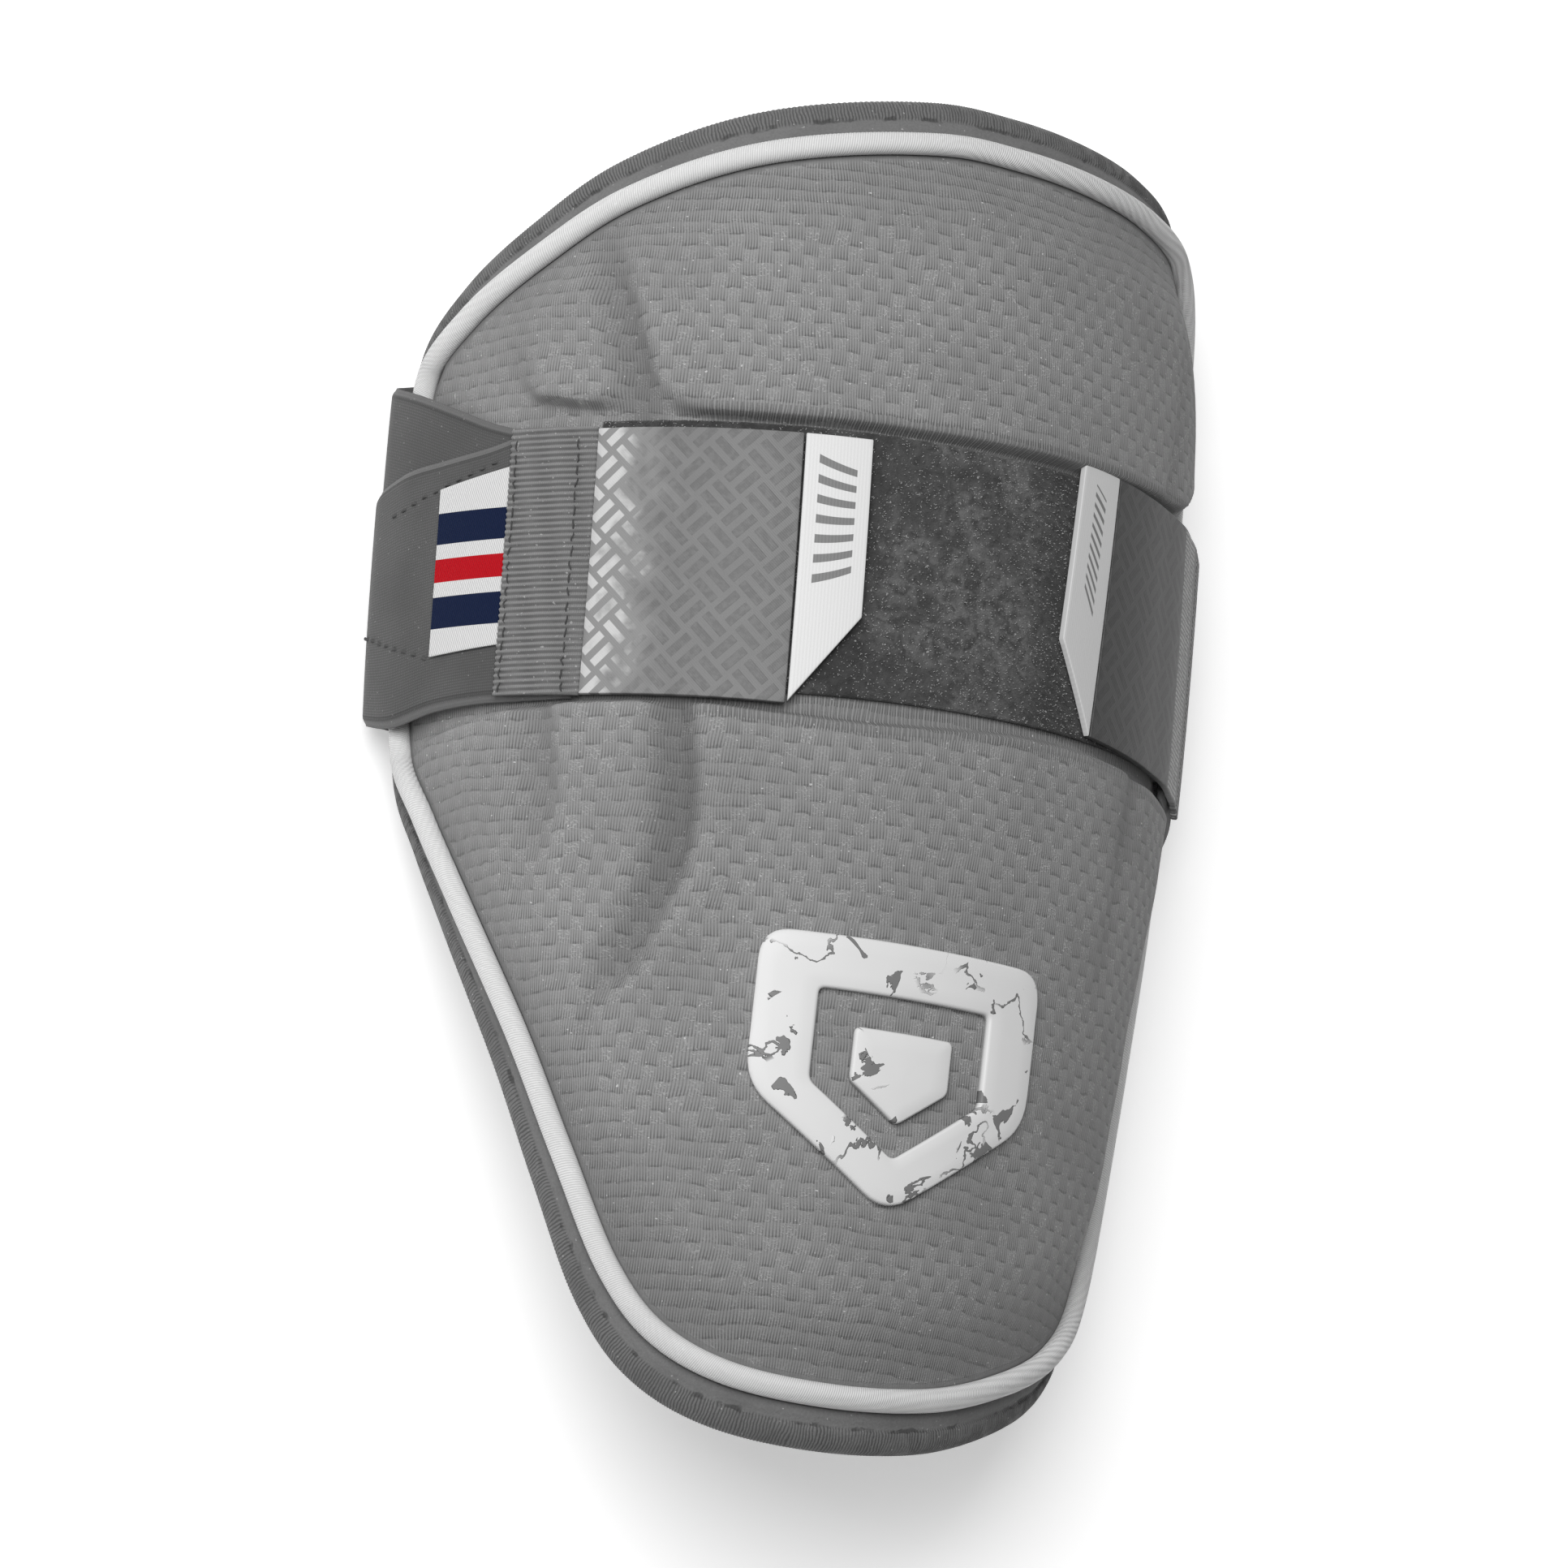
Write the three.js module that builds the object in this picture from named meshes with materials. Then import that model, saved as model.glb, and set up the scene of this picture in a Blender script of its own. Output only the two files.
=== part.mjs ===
import * as THREE from "three";

// Sizes in millimetres. X runs across, +Y up the arm, +Z up out of the crown.
const LENGTH = 224;            // rim tip to rim tip along the arm
const RADIUS = 72;             // largest outside radius of the padded dome
const CROWN = 72.6;            // crown above the surface the guard rests on
const END_DROP = 9;            // how much lower the crown is at both ends
const PAD_THICKNESS = 8;       // inner face to the outside of the dome
const FLANGE_DROP = 4.8;       // the thin rim lies this far below the dome
const CHANNEL_DEPTH = 3.2;     // recess that the strap lies in
const BINDING_WIDTH = 6;       // folded binding seen outside the piping
const BINDING_CLOTH = 0.8;
const PIPING_WIDTH = 3.9;
const PIPING_INSET = 8;        // rim edge to the middle of the piping
const DOME_INSET = 17;         // rim edge to where the dome is at full height
const CLEARANCE = 0.3;         // gap kept between pieces
const STRAP_CLOTH = 1.3;       // elastic band thickness
const FOLD_RADIUS = 5;         // bend of the strap path round the rims
const LOOP_CLOTH = 0.9;
const TAB_CLOTH = 1.2;
const RIBBON_CLOTH = 0.7;
const LABEL_CLOTH = 0.4;
const EMBLEM_HEIGHT = 1.1;
const GROOVE_HALF_WIDTH = 3;

const HALF_LENGTH = LENGTH / 2;
const UP = 1;
const DOWN = -1;

// Heights over the dome line: of the piping, and of the outer faces of the two bands,
// which lie in the channel and rise over the piping
const PIPING_TOP = -FLANGE_DROP + CLEARANCE + PIPING_WIDTH;
const BAND_STEP = STRAP_CLOTH + CLEARANCE;
const STRAP_LIFT = PIPING_TOP + 2 * BAND_STEP;
const lowerLift = (rise) => (1 - rise) * (2 * BAND_STEP - CHANNEL_DEPTH) + rise * STRAP_LIFT;
const upperLift = (rise) => lowerLift(rise) - BAND_STEP;

// In every table "along" is a share of half the length (-1 forearm tip, +1 upper tip)
// and "across" is an arc from the crown line as a share of RADIUS.
const RADIUS_ROWS = [
  { along: -1.0, radius: 0.826 },
  { along: -0.67, radius: 0.864 },
  { along: -0.33, radius: 0.913 },
  { along: 0.0, radius: 0.967 },
  { along: 0.33, radius: 0.992 },
  { along: 0.67, radius: 1.0 },
  { along: 1.0, radius: 0.986 },
];

const RIM_ROWS = [
  { across: -0.003, along: 0.994 },
  { across: -0.427, along: 0.944 },
  { across: -0.774, along: 0.864 },
  { across: -1.012, along: 0.78 },
  { across: -1.236, along: 0.697 },
  { across: -1.412, along: 0.608 },
  { across: -1.477, along: 0.47 },
  { across: -1.487, along: 0.3 },
  { across: -1.486, along: 0.12 },
  { across: -1.446, along: -0.051 },
  { across: -1.316, along: -0.164 },
  { across: -1.168, along: -0.288 },
  { across: -0.964, along: -0.472 },
  { across: -0.8, along: -0.649 },
  { across: -0.641, along: -0.82 },
  { across: -0.481, along: -0.924 },
  { across: -0.268, along: -0.983 },
  { across: 0.004, along: -1.0 },
  { across: 0.29, along: -0.982 },
  { across: 0.546, along: -0.933 },
  { across: 0.778, along: -0.869 },
  { across: 0.965, along: -0.783 },
  { across: 1.093, along: -0.65 },
  { across: 1.167, along: -0.477 },
  { across: 1.231, along: -0.29 },
  { across: 1.328, along: -0.105 },
  { across: 1.431, along: 0.059 },
  { across: 1.479, along: 0.231 },
  { across: 1.484, along: 0.414 },
  { across: 1.457, along: 0.598 },
  { across: 1.386, along: 0.763 },
  { across: 1.23, along: 0.889 },
  { across: 1.002, along: 0.968 },
  { across: 0.729, along: 0.99 },
  { across: 0.488, along: 0.998 },
  { across: 0.237, along: 1.0 },
];

// Creases sewn in the dome: where each runs and how deep it is (share of PAD_THICKNESS).
const INNER_CREASE = [
  { along: -0.74, across: -0.33, depth: 0.0 },
  { along: -0.43, across: -0.655, depth: 0.0 },
  { along: -0.36, across: -0.603, depth: 0.2 },
  { along: -0.28, across: -0.55, depth: 0.27 },
  { along: -0.2, across: -0.507, depth: 0.33 },
  { along: -0.12, across: -0.497, depth: 0.33 },
  { along: 0.02, across: -0.525, depth: 0.3 },
  { along: 0.48, across: -0.655, depth: 0.3 },
  { along: 0.6, across: -0.706, depth: 0.27 },
  { along: 0.7, across: -0.757, depth: 0.18 },
  { along: 0.78, across: -0.8, depth: 0.0 },
];
const OUTER_CREASE = [
  { along: -0.24, across: -0.86, depth: 0.0 },
  { along: -0.16, across: -0.834, depth: 0.15 },
  { along: -0.1, across: -0.83, depth: 0.2 },
  { along: 0.014, across: -0.862, depth: 0.2 },
  { along: 0.48, across: -0.952, depth: 0.12 },
  { along: 0.6, across: -0.99, depth: 0.08 },
  { along: 0.68, across: -1.02, depth: 0.0 },
];
const RIGHT_CREASE = [
  { along: -0.74, across: 0.55, depth: 0.0 },
  { along: -0.33, across: 0.66, depth: 0.0 },
  { along: -0.247, across: 0.681, depth: 0.12 },
  { along: -0.1, across: 0.708, depth: 0.18 },
  { along: 0.02, across: 0.732, depth: 0.22 },
  { along: 0.49, across: 0.844, depth: 0.2 },
  { along: 0.57, across: 0.87, depth: 0.18 },
  { along: 0.68, across: 0.898, depth: 0.14 },
  { along: 0.8, across: 0.91, depth: 0.0 },
];
const CREASES = [INNER_CREASE, OUTER_CREASE, RIGHT_CREASE];

// Edges of the strap channel.
const CHANNEL_ROWS = [
  { across: -1.5, low: -0.03, high: 0.6 },
  { across: -1.2, low: -0.005, high: 0.56 },
  { across: -0.95, low: 0.018, high: 0.5 },
  { across: -0.6, low: 0.028, high: 0.474 },
  { across: -0.1, low: 0.022, high: 0.478 },
  { across: 0.4, low: 0.052, high: 0.497 },
  { across: 0.8, low: 0.06, high: 0.512 },
  { across: 1.2, low: 0.03, high: 0.54 },
  { across: 1.5, low: 0.0, high: 0.56 },
];
const CHANNEL_WALL = 1.5;      // width of the sloped channel walls

// Both elastic bands: "turn" goes 0 at the crown, 1 at the middle of the back, 2 at the
// crown again; "low" and "high" are edges along, "lift" the outer face over the dome line.
const LOWER_BAND_ROWS = [
  { turn: 0.32, low: 0.038, high: 0.441, lift: lowerLift(0) },
  { turn: 0.38, low: 0.037, high: 0.441, lift: lowerLift(0) },
  { turn: 0.43, low: 0.037, high: 0.423, lift: lowerLift(0.19) },
  { turn: 0.48, low: 0.03, high: 0.412, lift: lowerLift(0.5) },
  { turn: 0.54, low: 0.006, high: 0.4, lift: lowerLift(1) },
  { turn: 0.65, low: -0.045, high: 0.352, lift: lowerLift(1) },
  { turn: 0.8, low: -0.16, high: 0.237, lift: lowerLift(1) },
  { turn: 1.0, low: -0.24, high: 0.157, lift: lowerLift(1) },
  { turn: 1.2, low: -0.16, high: 0.237, lift: lowerLift(1) },
  { turn: 1.35, low: -0.045, high: 0.352, lift: lowerLift(1) },
  { turn: 1.46, low: 0.04, high: 0.437, lift: lowerLift(1) },
  { turn: 1.52, low: 0.065, high: 0.462, lift: lowerLift(0.35) },
  { turn: 1.57, low: 0.072, high: 0.469, lift: lowerLift(0) },
];
const UPPER_BAND_ROWS = [
  { turn: 0.32, low: 0.12, high: 0.441, lift: upperLift(0) },
  { turn: 0.38, low: 0.122, high: 0.443, lift: upperLift(0) },
  { turn: 0.43, low: 0.14, high: 0.461, lift: upperLift(0.19) },
  { turn: 0.48, low: 0.17, high: 0.491, lift: upperLift(0.5) },
  { turn: 0.54, low: 0.205, high: 0.527, lift: upperLift(1) },
  { turn: 0.65, low: 0.26, high: 0.58, lift: upperLift(1) },
  { turn: 0.8, low: 0.33, high: 0.65, lift: upperLift(1) },
  { turn: 0.89, low: 0.35, high: 0.67, lift: STRAP_LIFT },
  { turn: 1.0, low: 0.36, high: 0.68, lift: STRAP_LIFT },
  { turn: 1.11, low: 0.35, high: 0.67, lift: STRAP_LIFT },
  { turn: 1.2, low: 0.33, high: 0.65, lift: upperLift(1) },
  { turn: 1.35, low: 0.26, high: 0.58, lift: upperLift(1) },
  { turn: 1.46, low: 0.2, high: 0.52, lift: upperLift(1) },
  { turn: 1.52, low: 0.165, high: 0.485, lift: upperLift(0.35) },
  { turn: 1.57, low: 0.148, high: 0.468, lift: upperLift(0) },
];

// Corners of the flat pieces on the strap and in the channel.
const LOOP_PANEL = {
  lowLeft: { across: -0.76, along: 0.05 }, lowRight: { across: 1.03, along: 0.09 },
  highLeft: { across: -0.76, along: 0.452 }, highRight: { across: 1.03, along: 0.474 },
};
const LEFT_TAB = {
  lowLeft: { across: -0.775, along: 0.042 }, lowRight: { across: -0.284, along: 0.042 },
  highLeft: { across: -0.775, along: 0.438 }, highRight: { across: -0.284, along: 0.445 },
};
const LEFT_TIP = {
  lowLeft: { across: -0.279, along: 0.045 }, lowRight: { across: -0.125, along: 0.18 },
  highLeft: { across: -0.279, along: 0.445 }, highRight: { across: -0.125, along: 0.447 },
};
const RIBBON = {
  lowLeft: { across: -0.985, along: 0.044 }, lowRight: { across: -0.76, along: 0.039 },
  highLeft: { across: -0.985, along: 0.444 }, highRight: { across: -0.76, along: 0.44 },
};
const LABEL = {
  lowLeft: { across: -1.19, along: 0.112 }, lowRight: { across: -0.99, along: 0.121 },
  highLeft: { across: -1.19, along: 0.364 }, highRight: { across: -0.99, along: 0.388 },
};
const RIGHT_TIP = {
  lowLeft: { across: 0.408, along: 0.214 }, lowRight: { across: 0.522, along: 0.083 },
  highLeft: { across: 0.45, along: 0.486 }, highRight: { across: 0.58, along: 0.484 },
};
const RIGHT_TAB = {
  lowLeft: { across: 0.527, along: 0.083 }, lowRight: { across: 1.155, along: 0.072 },
  highLeft: { across: 0.585, along: 0.484 }, highRight: { across: 1.155, along: 0.473 },
};
const RIGHT_HEM = {
  lowLeft: { across: 1.16, along: 0.07 }, lowRight: { across: 1.22, along: 0.06 },
  highLeft: { across: 1.16, along: 0.472 }, highRight: { across: 1.22, along: 0.462 },
};

// Raised emblem: a plain home-plate outline with a smaller plate inside it.
const EMBLEM_ACROSS = 0.058;
const EMBLEM_ALONG = -0.478;
const EMBLEM_WIDTH = 50;
const EMBLEM_LENGTH = 43;
const EMBLEM_RING_HOLE = 0.6;  // size of the hole, as a share of the outline
const EMBLEM_PLATE = 0.34;     // size of the inner plate, as a share of the outline
const PLATE_CORNERS = [
  { width: -0.5, length: 0.5 }, { width: 0.5, length: 0.5 }, { width: 0.5, length: -0.08 },
  { width: 0.0, length: -0.5 }, { width: -0.5, length: -0.08 },
];

const COLOURS = {
  cloth: 0x808284, binding: 0x67696b, piping: 0xd6d7d9, loop: 0x55575a, elastic: 0x5b5d5f,
  ribbon: 0x636567, tab: 0x8b8d8f, darkTab: 0x505255, white: 0xe4e5e6,
};

// Curves
function slopeAt(rows, key, column, index) {
  const before = rows[Math.max(index - 1, 0)];
  const after = rows[Math.min(index + 1, rows.length - 1)];
  return (after[column] - before[column]) / (after[key] - before[key]);
}

function valueAt(rows, key, column, where) {
  const first = rows[0];
  const last = rows[rows.length - 1];
  if (where <= first[key]) return first[column];
  if (where >= last[key]) return last[column];
  let index = 0;
  while (rows[index + 1][key] < where) index += 1;
  const [a, b] = [rows[index], rows[index + 1]];
  const span = b[key] - a[key];
  const t = (where - a[key]) / span;
  const [startSlope, endSlope] = [index, index + 1].map((i) => slopeAt(rows, key, column, i));
  const keep = 2 * t ** 3 - 3 * t ** 2 + 1;
  const leave = t ** 3 - 2 * t ** 2 + t;
  const arrive = t ** 3 - t ** 2;
  return keep * a[column] + (1 - keep) * b[column] + span * (leave * startSlope + arrive * endSlope);
}

function clamp01(x) {
  return Math.min(Math.max(x, 0), 1);
}

function ease(x) {
  const t = clamp01(x);
  return t * t * (3 - 2 * t);
}

function catmull(p0, p1, p2, p3, t) {
  const straight = 2 * p1 + (p2 - p0) * t;
  const bend = (2 * p0 - 5 * p1 + 4 * p2 - p3) * t ** 2;
  return 0.5 * (straight + bend + (3 * p1 - p0 - 3 * p2 + p3) * t ** 3);
}

// The trough that everything lies on
function radiusAt(y) {
  return RADIUS * valueAt(RADIUS_ROWS, "along", "radius", y / HALF_LENGTH);
}

function crownAt(y) {
  return CROWN - END_DROP * (y / HALF_LENGTH) ** 2;
}

function onTrough(arc, y, height) {
  const radius = radiusAt(y);
  const angle = arc / radius;
  const reach = radius + height;
  return [reach * Math.sin(angle), y, crownAt(y) - radius + reach * Math.cos(angle)];
}

// The strap leaves the trough at the rims, bends and runs flat under the guard
function strapLoop(y) {
  const radius = radiusAt(y);
  const floor = STRAP_LIFT;
  const axis = crownAt(y) - radius;
  const leaveAngle = Math.acos((floor + FOLD_RADIUS - axis) / (radius - FOLD_RADIUS));
  const onArc = radius * leaveAngle;
  const inFold = FOLD_RADIUS * (Math.PI - leaveAngle);
  const flatHalf = (radius - FOLD_RADIUS) * Math.sin(leaveAngle);
  return { leaveAngle, onArc, inFold, flatHalf, half: onArc + inFold + flatHalf };
}

function onStrap(turn, y, height) {
  const loop = strapLoop(y);
  const side = turn <= 1 ? -1 : 1;
  const arc = loop.half * (turn <= 1 ? turn : 2 - turn);
  if (arc <= loop.onArc) return onTrough(side * arc, y, height);
  const bent = arc - loop.onArc;
  const reach = FOLD_RADIUS + height;
  if (bent <= loop.inFold) {
    const angle = loop.leaveAngle + bent / FOLD_RADIUS;
    const [x, z] = [loop.flatHalf + reach * Math.sin(angle), STRAP_LIFT + FOLD_RADIUS];
    return [side * x, y, z + reach * Math.cos(angle)];
  }
  return [side * (loop.half - arc), y, STRAP_LIFT - height];
}

// Rim outline and the curves that run beside it
const RIM_SAMPLES = 360;

function rimPoint(share) {
  const count = RIM_ROWS.length;
  const place = share * count;
  const index = Math.floor(place);
  const near = [-1, 0, 1, 2].map((step) => RIM_ROWS[(index + step + count) % count]);
  const at = (column) => catmull(...near.map((row) => row[column]), place - index);
  return { arc: RADIUS * at("across"), y: HALF_LENGTH * at("along") };
}

function rimSamples() {
  const points = Array.from({ length: RIM_SAMPLES }, (_, i) => rimPoint(i / RIM_SAMPLES));
  return points.map((point, i) => {
    const next = points[(i + 1) % RIM_SAMPLES];
    const back = points[(i + RIM_SAMPLES - 1) % RIM_SAMPLES];
    const [runArc, runY] = [next.arc - back.arc, next.y - back.y];
    const size = Math.hypot(runArc, runY);
    return { ...point, inArc: -runY / size, inY: runArc / size };
  });
}

const RIM = rimSamples();

function insetPoint(place, inset) {
  const index = Math.floor(place);
  const [a, b] = [RIM[index % RIM_SAMPLES], RIM[(index + 1) % RIM_SAMPLES]];
  const mix = (key) => a[key] + (b[key] - a[key]) * (place - index);
  return { arc: mix("arc") + inset * mix("inArc"), y: mix("y") + inset * mix("inY"), inset };
}

function crossing(inset, key, value, other, side) {
  let best = null;
  for (let i = 0; i < RIM_SAMPLES; i += 1) {
    const [a, b] = [insetPoint(i, inset), insetPoint(i + 1, inset)];
    if ((a[key] - value) * (b[key] - value) > 0 || a[key] === b[key]) continue;
    const place = i + (value - a[key]) / (b[key] - a[key]);
    const found = insetPoint(place, inset)[other];
    if (best === null || side * found > side * best.found) best = { place, found };
  }
  return best.place;
}

// Height of the outer face over the dome line, at a point and its distance from the rim
function creaseHeight(arc, y) {
  const along = y / HALF_LENGTH;
  return CREASES.reduce((height, rows) => {
    const away = Math.abs(arc - RADIUS * valueAt(rows, "along", "across", along));
    const depth = PAD_THICKNESS * valueAt(rows, "along", "depth", along);
    return height - depth * (1 - ease(away / GROOVE_HALF_WIDTH));
  }, 0);
}

function channelShare(arc, y) {
  const across = arc / RADIUS;
  const low = HALF_LENGTH * valueAt(CHANNEL_ROWS, "across", "low", across);
  const high = HALF_LENGTH * valueAt(CHANNEL_ROWS, "across", "high", across);
  return clamp01(Math.min(y - low, high - y) / CHANNEL_WALL);
}

const DOME_START = PIPING_INSET + PIPING_WIDTH / 2 + 2 * CLEARANCE;
const ROLL = DOME_INSET - DOME_START; // width of the dome's rounded side
const WING_THINNING = 1.4;
const WING_ARC = 0.95;         // arc, as a share of RADIUS, where the left wing gets thinner
const WING_BLEND = 0.25;

function outerHeight({ arc, y, inset }) {
  const roll = clamp01((inset - DOME_START) / ROLL);
  const domed = Math.sqrt(1 - (1 - roll) ** 2);
  const wing = WING_THINNING * ease((-arc / RADIUS - WING_ARC) / WING_BLEND);
  const dome = Math.max(creaseHeight(arc, y) - wing, -CHANNEL_DEPTH);
  const open = dome + (-CHANNEL_DEPTH - dome) * channelShare(arc, y);
  return -FLANGE_DROP + (open + FLANGE_DROP) * domed;
}

// Solids
function solid(name, points, faces, colour, roughness) {
  const triangles = faces.flatMap(([a, b, c, d]) => [a, b, c, a, c, d]);
  const corner = (i) => new THREE.Vector3(...points[triangles[i]]);
  let volume = 0;
  for (let i = 0; i < triangles.length; i += 3) {
    volume += corner(i).dot(corner(i + 1).cross(corner(i + 2)));
  }
  const ordered = volume < 0 ? triangles.reverse() : triangles;
  const geometry = new THREE.BufferGeometry();
  geometry.setAttribute("position", new THREE.Float32BufferAttribute(points.flat(), 3));
  geometry.setIndex(ordered);
  geometry.computeVertexNormals();
  const material = new THREE.MeshStandardMaterial({ color: colour, roughness, metalness: 0 });
  const mesh = new THREE.Mesh(geometry, material);
  mesh.name = name;
  return mesh;
}

// A sheet with thickness: place(u, v, face) gives a point of its top or bottom face
function slab(name, columns, rows, place, colour, roughness) {
  const points = [];
  for (const face of [UP, DOWN]) {
    for (let i = 0; i <= rows; i += 1) {
      for (let j = 0; j <= columns; j += 1) points.push(place(j / columns, i / rows, face));
    }
  }
  const layer = (rows + 1) * (columns + 1);
  const at = (i, j) => i * (columns + 1) + j;
  const faces = [];
  for (let i = 0; i < rows; i += 1) {
    for (let j = 0; j < columns; j += 1) {
      const quad = [at(i, j), at(i, j + 1), at(i + 1, j + 1), at(i + 1, j)];
      faces.push(quad, quad.map((k) => k + layer).reverse());
    }
  }
  const wall = (a, b) => faces.push([b, a, a + layer, b + layer]);
  for (let j = 0; j < columns; j += 1) {
    wall(at(0, j), at(0, j + 1));
    wall(at(rows, j + 1), at(rows, j));
  }
  for (let i = 0; i < rows; i += 1) {
    wall(at(i + 1, 0), at(i, 0));
    wall(at(i, columns), at(i + 1, columns));
  }
  return solid(name, points, faces, colour, roughness);
}

// A closed loop of a constant section: place(station, corner) gives each point
function closedLoop(name, stations, corners, place, colour, roughness) {
  const points = [];
  for (let i = 0; i < stations; i += 1) {
    for (let j = 0; j < corners; j += 1) points.push(place(i, j));
  }
  const at = (i, j) => (i % stations) * corners + (j % corners);
  const faces = [];
  for (let i = 0; i < stations; i += 1) {
    for (let j = 0; j < corners; j += 1) {
      faces.push([at(i, j), at(i + 1, j), at(i + 1, j + 1), at(i, j + 1)]);
    }
  }
  return solid(name, points, faces, colour, roughness);
}

// Padded shell: rings beside the rim, and rows and columns inside them
const SHELL_EDGE_INSET = BINDING_CLOTH + CLEARANCE;
const RING_INSETS = [SHELL_EDGE_INSET, PIPING_INSET - PIPING_WIDTH / 2, DOME_START,
  DOME_START + 0.12 * ROLL, DOME_START + 0.4 * ROLL, DOME_INSET];
const ROWS_LOW = -0.73;        // lowest and highest straight row of the inner field
const ROWS_HIGH = 0.68;
const ROWS_BETWEEN = [13, 1, 7, 1, 6];   // rows up to each channel edge and the far end
const COLUMNS_BETWEEN = [3, 2, 11, 2, 3]; // columns up to each crease side and the far end

function spread(knots, parts) {
  const steps = knots.slice(1).flatMap((to, k) => {
    const from = knots[k];
    return Array.from({ length: parts[k] }, (_, i) => from + ((to - from) * (i + 1)) / parts[k]);
  });
  return [knots[0], ...steps];
}

function rowsAt(arc) {
  const [low, high] = ["low", "high"].map((key) => HALF_LENGTH
    * valueAt(CHANNEL_ROWS, "across", key, arc / RADIUS));
  const knots = [HALF_LENGTH * ROWS_LOW, low, low + CHANNEL_WALL, high - CHANNEL_WALL, high,
    HALF_LENGTH * ROWS_HIGH];
  return spread(knots, ROWS_BETWEEN);
}

function arcsAt(y, left, right) {
  const along = y / HALF_LENGTH;
  const room = (right - left) * 0.06 + GROOVE_HALF_WIDTH;
  const inner = Math.max(RADIUS * valueAt(INNER_CREASE, "along", "across", along), left + room);
  const outer = Math.min(RADIUS * valueAt(RIGHT_CREASE, "along", "across", along), right - room);
  const knots = [left, inner - GROOVE_HALF_WIDTH, inner + GROOVE_HALF_WIDTH,
    outer - GROOVE_HALF_WIDTH, outer + GROOVE_HALF_WIDTH, right];
  return spread(knots, COLUMNS_BETWEEN);
}

// The field's rows bow out towards the curved ends of the rim
function bulge(arc, y) {
  const [low, high] = [HALF_LENGTH * ROWS_LOW, HALF_LENGTH * ROWS_HIGH];
  const [calmLow, calmHigh] = [-0.06 * HALF_LENGTH, 0.56 * HALF_LENGTH];
  const end = (side) => insetPoint(crossing(DOME_INSET, "arc", arc, "y", side), DOME_INSET).y;
  if (y > calmHigh) return ((y - calmHigh) / (high - calmHigh)) ** 1.5 * (end(UP) - high);
  if (y < calmLow) return ((calmLow - y) / (calmLow - low)) ** 1.5 * (end(DOWN) - low);
  return 0;
}

function fieldEnd(row, side) {
  let y = HALF_LENGTH * (ROWS_LOW + ROWS_HIGH) / 2;
  let place = crossing(DOME_INSET, "y", y, "arc", side);
  for (let pass = 0; pass < 4; pass += 1) {
    y = rowsAt(insetPoint(place, DOME_INSET).arc)[row];
    place = crossing(DOME_INSET, "y", y, "arc", side);
  }
  return place;
}

function fieldLattice() {
  const rowCount = ROWS_BETWEEN.reduce((sum, parts) => sum + parts, 1);
  return Array.from({ length: rowCount }, (_, row) => {
    const places = [DOWN, UP].map((side) => fieldEnd(row, side));
    const [left, right] = places.map((place) => insetPoint(place, DOME_INSET));
    const arcs = arcsAt((left.y + right.y) / 2, left.arc, right.arc);
    const points = arcs.map((arc) => {
      const y = rowsAt(arc)[row];
      return { arc, y: y + bulge(arc, y), inset: DOME_INSET };
    });
    return { places, points };
  });
}

function shellLattice() {
  const field = fieldLattice();
  const lastRow = field.length - 1;
  const lastColumn = field[0].points.length - 1;
  const edge = [];
  const endPlace = (row, column, side) => crossing(DOME_INSET, "arc",
    field[row].points[column].arc, "y", side);
  for (let i = 0; i <= lastRow; i += 1) edge.push([i, 0, field[i].places[0]]);
  for (let j = 1; j < lastColumn; j += 1) edge.push([lastRow, j, endPlace(lastRow, j, UP)]);
  for (let i = lastRow; i >= 0; i -= 1) edge.push([i, lastColumn, field[i].places[1]]);
  for (let j = lastColumn - 1; j > 0; j -= 1) edge.push([0, j, endPlace(0, j, DOWN)]);
  const around = edge.length;
  const points = RING_INSETS.flatMap((inset) => edge.map(([, , place]) => insetPoint(place, inset)));
  const cells = field.map((row) => row.points.map(() => -1));
  edge.forEach(([i, j], k) => { cells[i][j] = (RING_INSETS.length - 1) * around + k; });
  for (let i = 1; i < lastRow; i += 1) {
    for (let j = 1; j < lastColumn; j += 1) {
      cells[i][j] = points.length;
      points.push(field[i].points[j]);
    }
  }
  const faces = [];
  for (let ring = 0; ring < RING_INSETS.length - 1; ring += 1) {
    for (let k = 0; k < around; k += 1) {
      const [a, b] = [ring * around + k, ring * around + ((k + 1) % around)];
      faces.push([a, b, b + around, a + around]);
    }
  }
  for (let i = 0; i < lastRow; i += 1) {
    for (let j = 0; j < lastColumn; j += 1) {
      faces.push([cells[i][j], cells[i + 1][j], cells[i + 1][j + 1], cells[i][j + 1]]);
    }
  }
  return { points, faces, around };
}

function paddedShell() {
  const lattice = shellLattice();
  const outer = lattice.points.map((p) => onTrough(p.arc, p.y, outerHeight(p)));
  const inner = lattice.points.map((p) => onTrough(p.arc, p.y, -PAD_THICKNESS));
  const layer = outer.length;
  const faces = [...lattice.faces];
  for (const face of lattice.faces) faces.push(face.map((k) => k + layer).reverse());
  for (let k = 0; k < lattice.around; k += 1) {
    const next = (k + 1) % lattice.around;
    faces.push([next, k, k + layer, next + layer]);
  }
  return solid("padded_shell", [...outer, ...inner], faces, COLOURS.cloth, 0.85);
}

// Rim trim
const TRIM_STATIONS = 96;

function besideRim(station, inset, height) {
  const point = insetPoint((station * RIM_SAMPLES) / TRIM_STATIONS, inset);
  return onTrough(point.arc, point.y, height);
}

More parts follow.
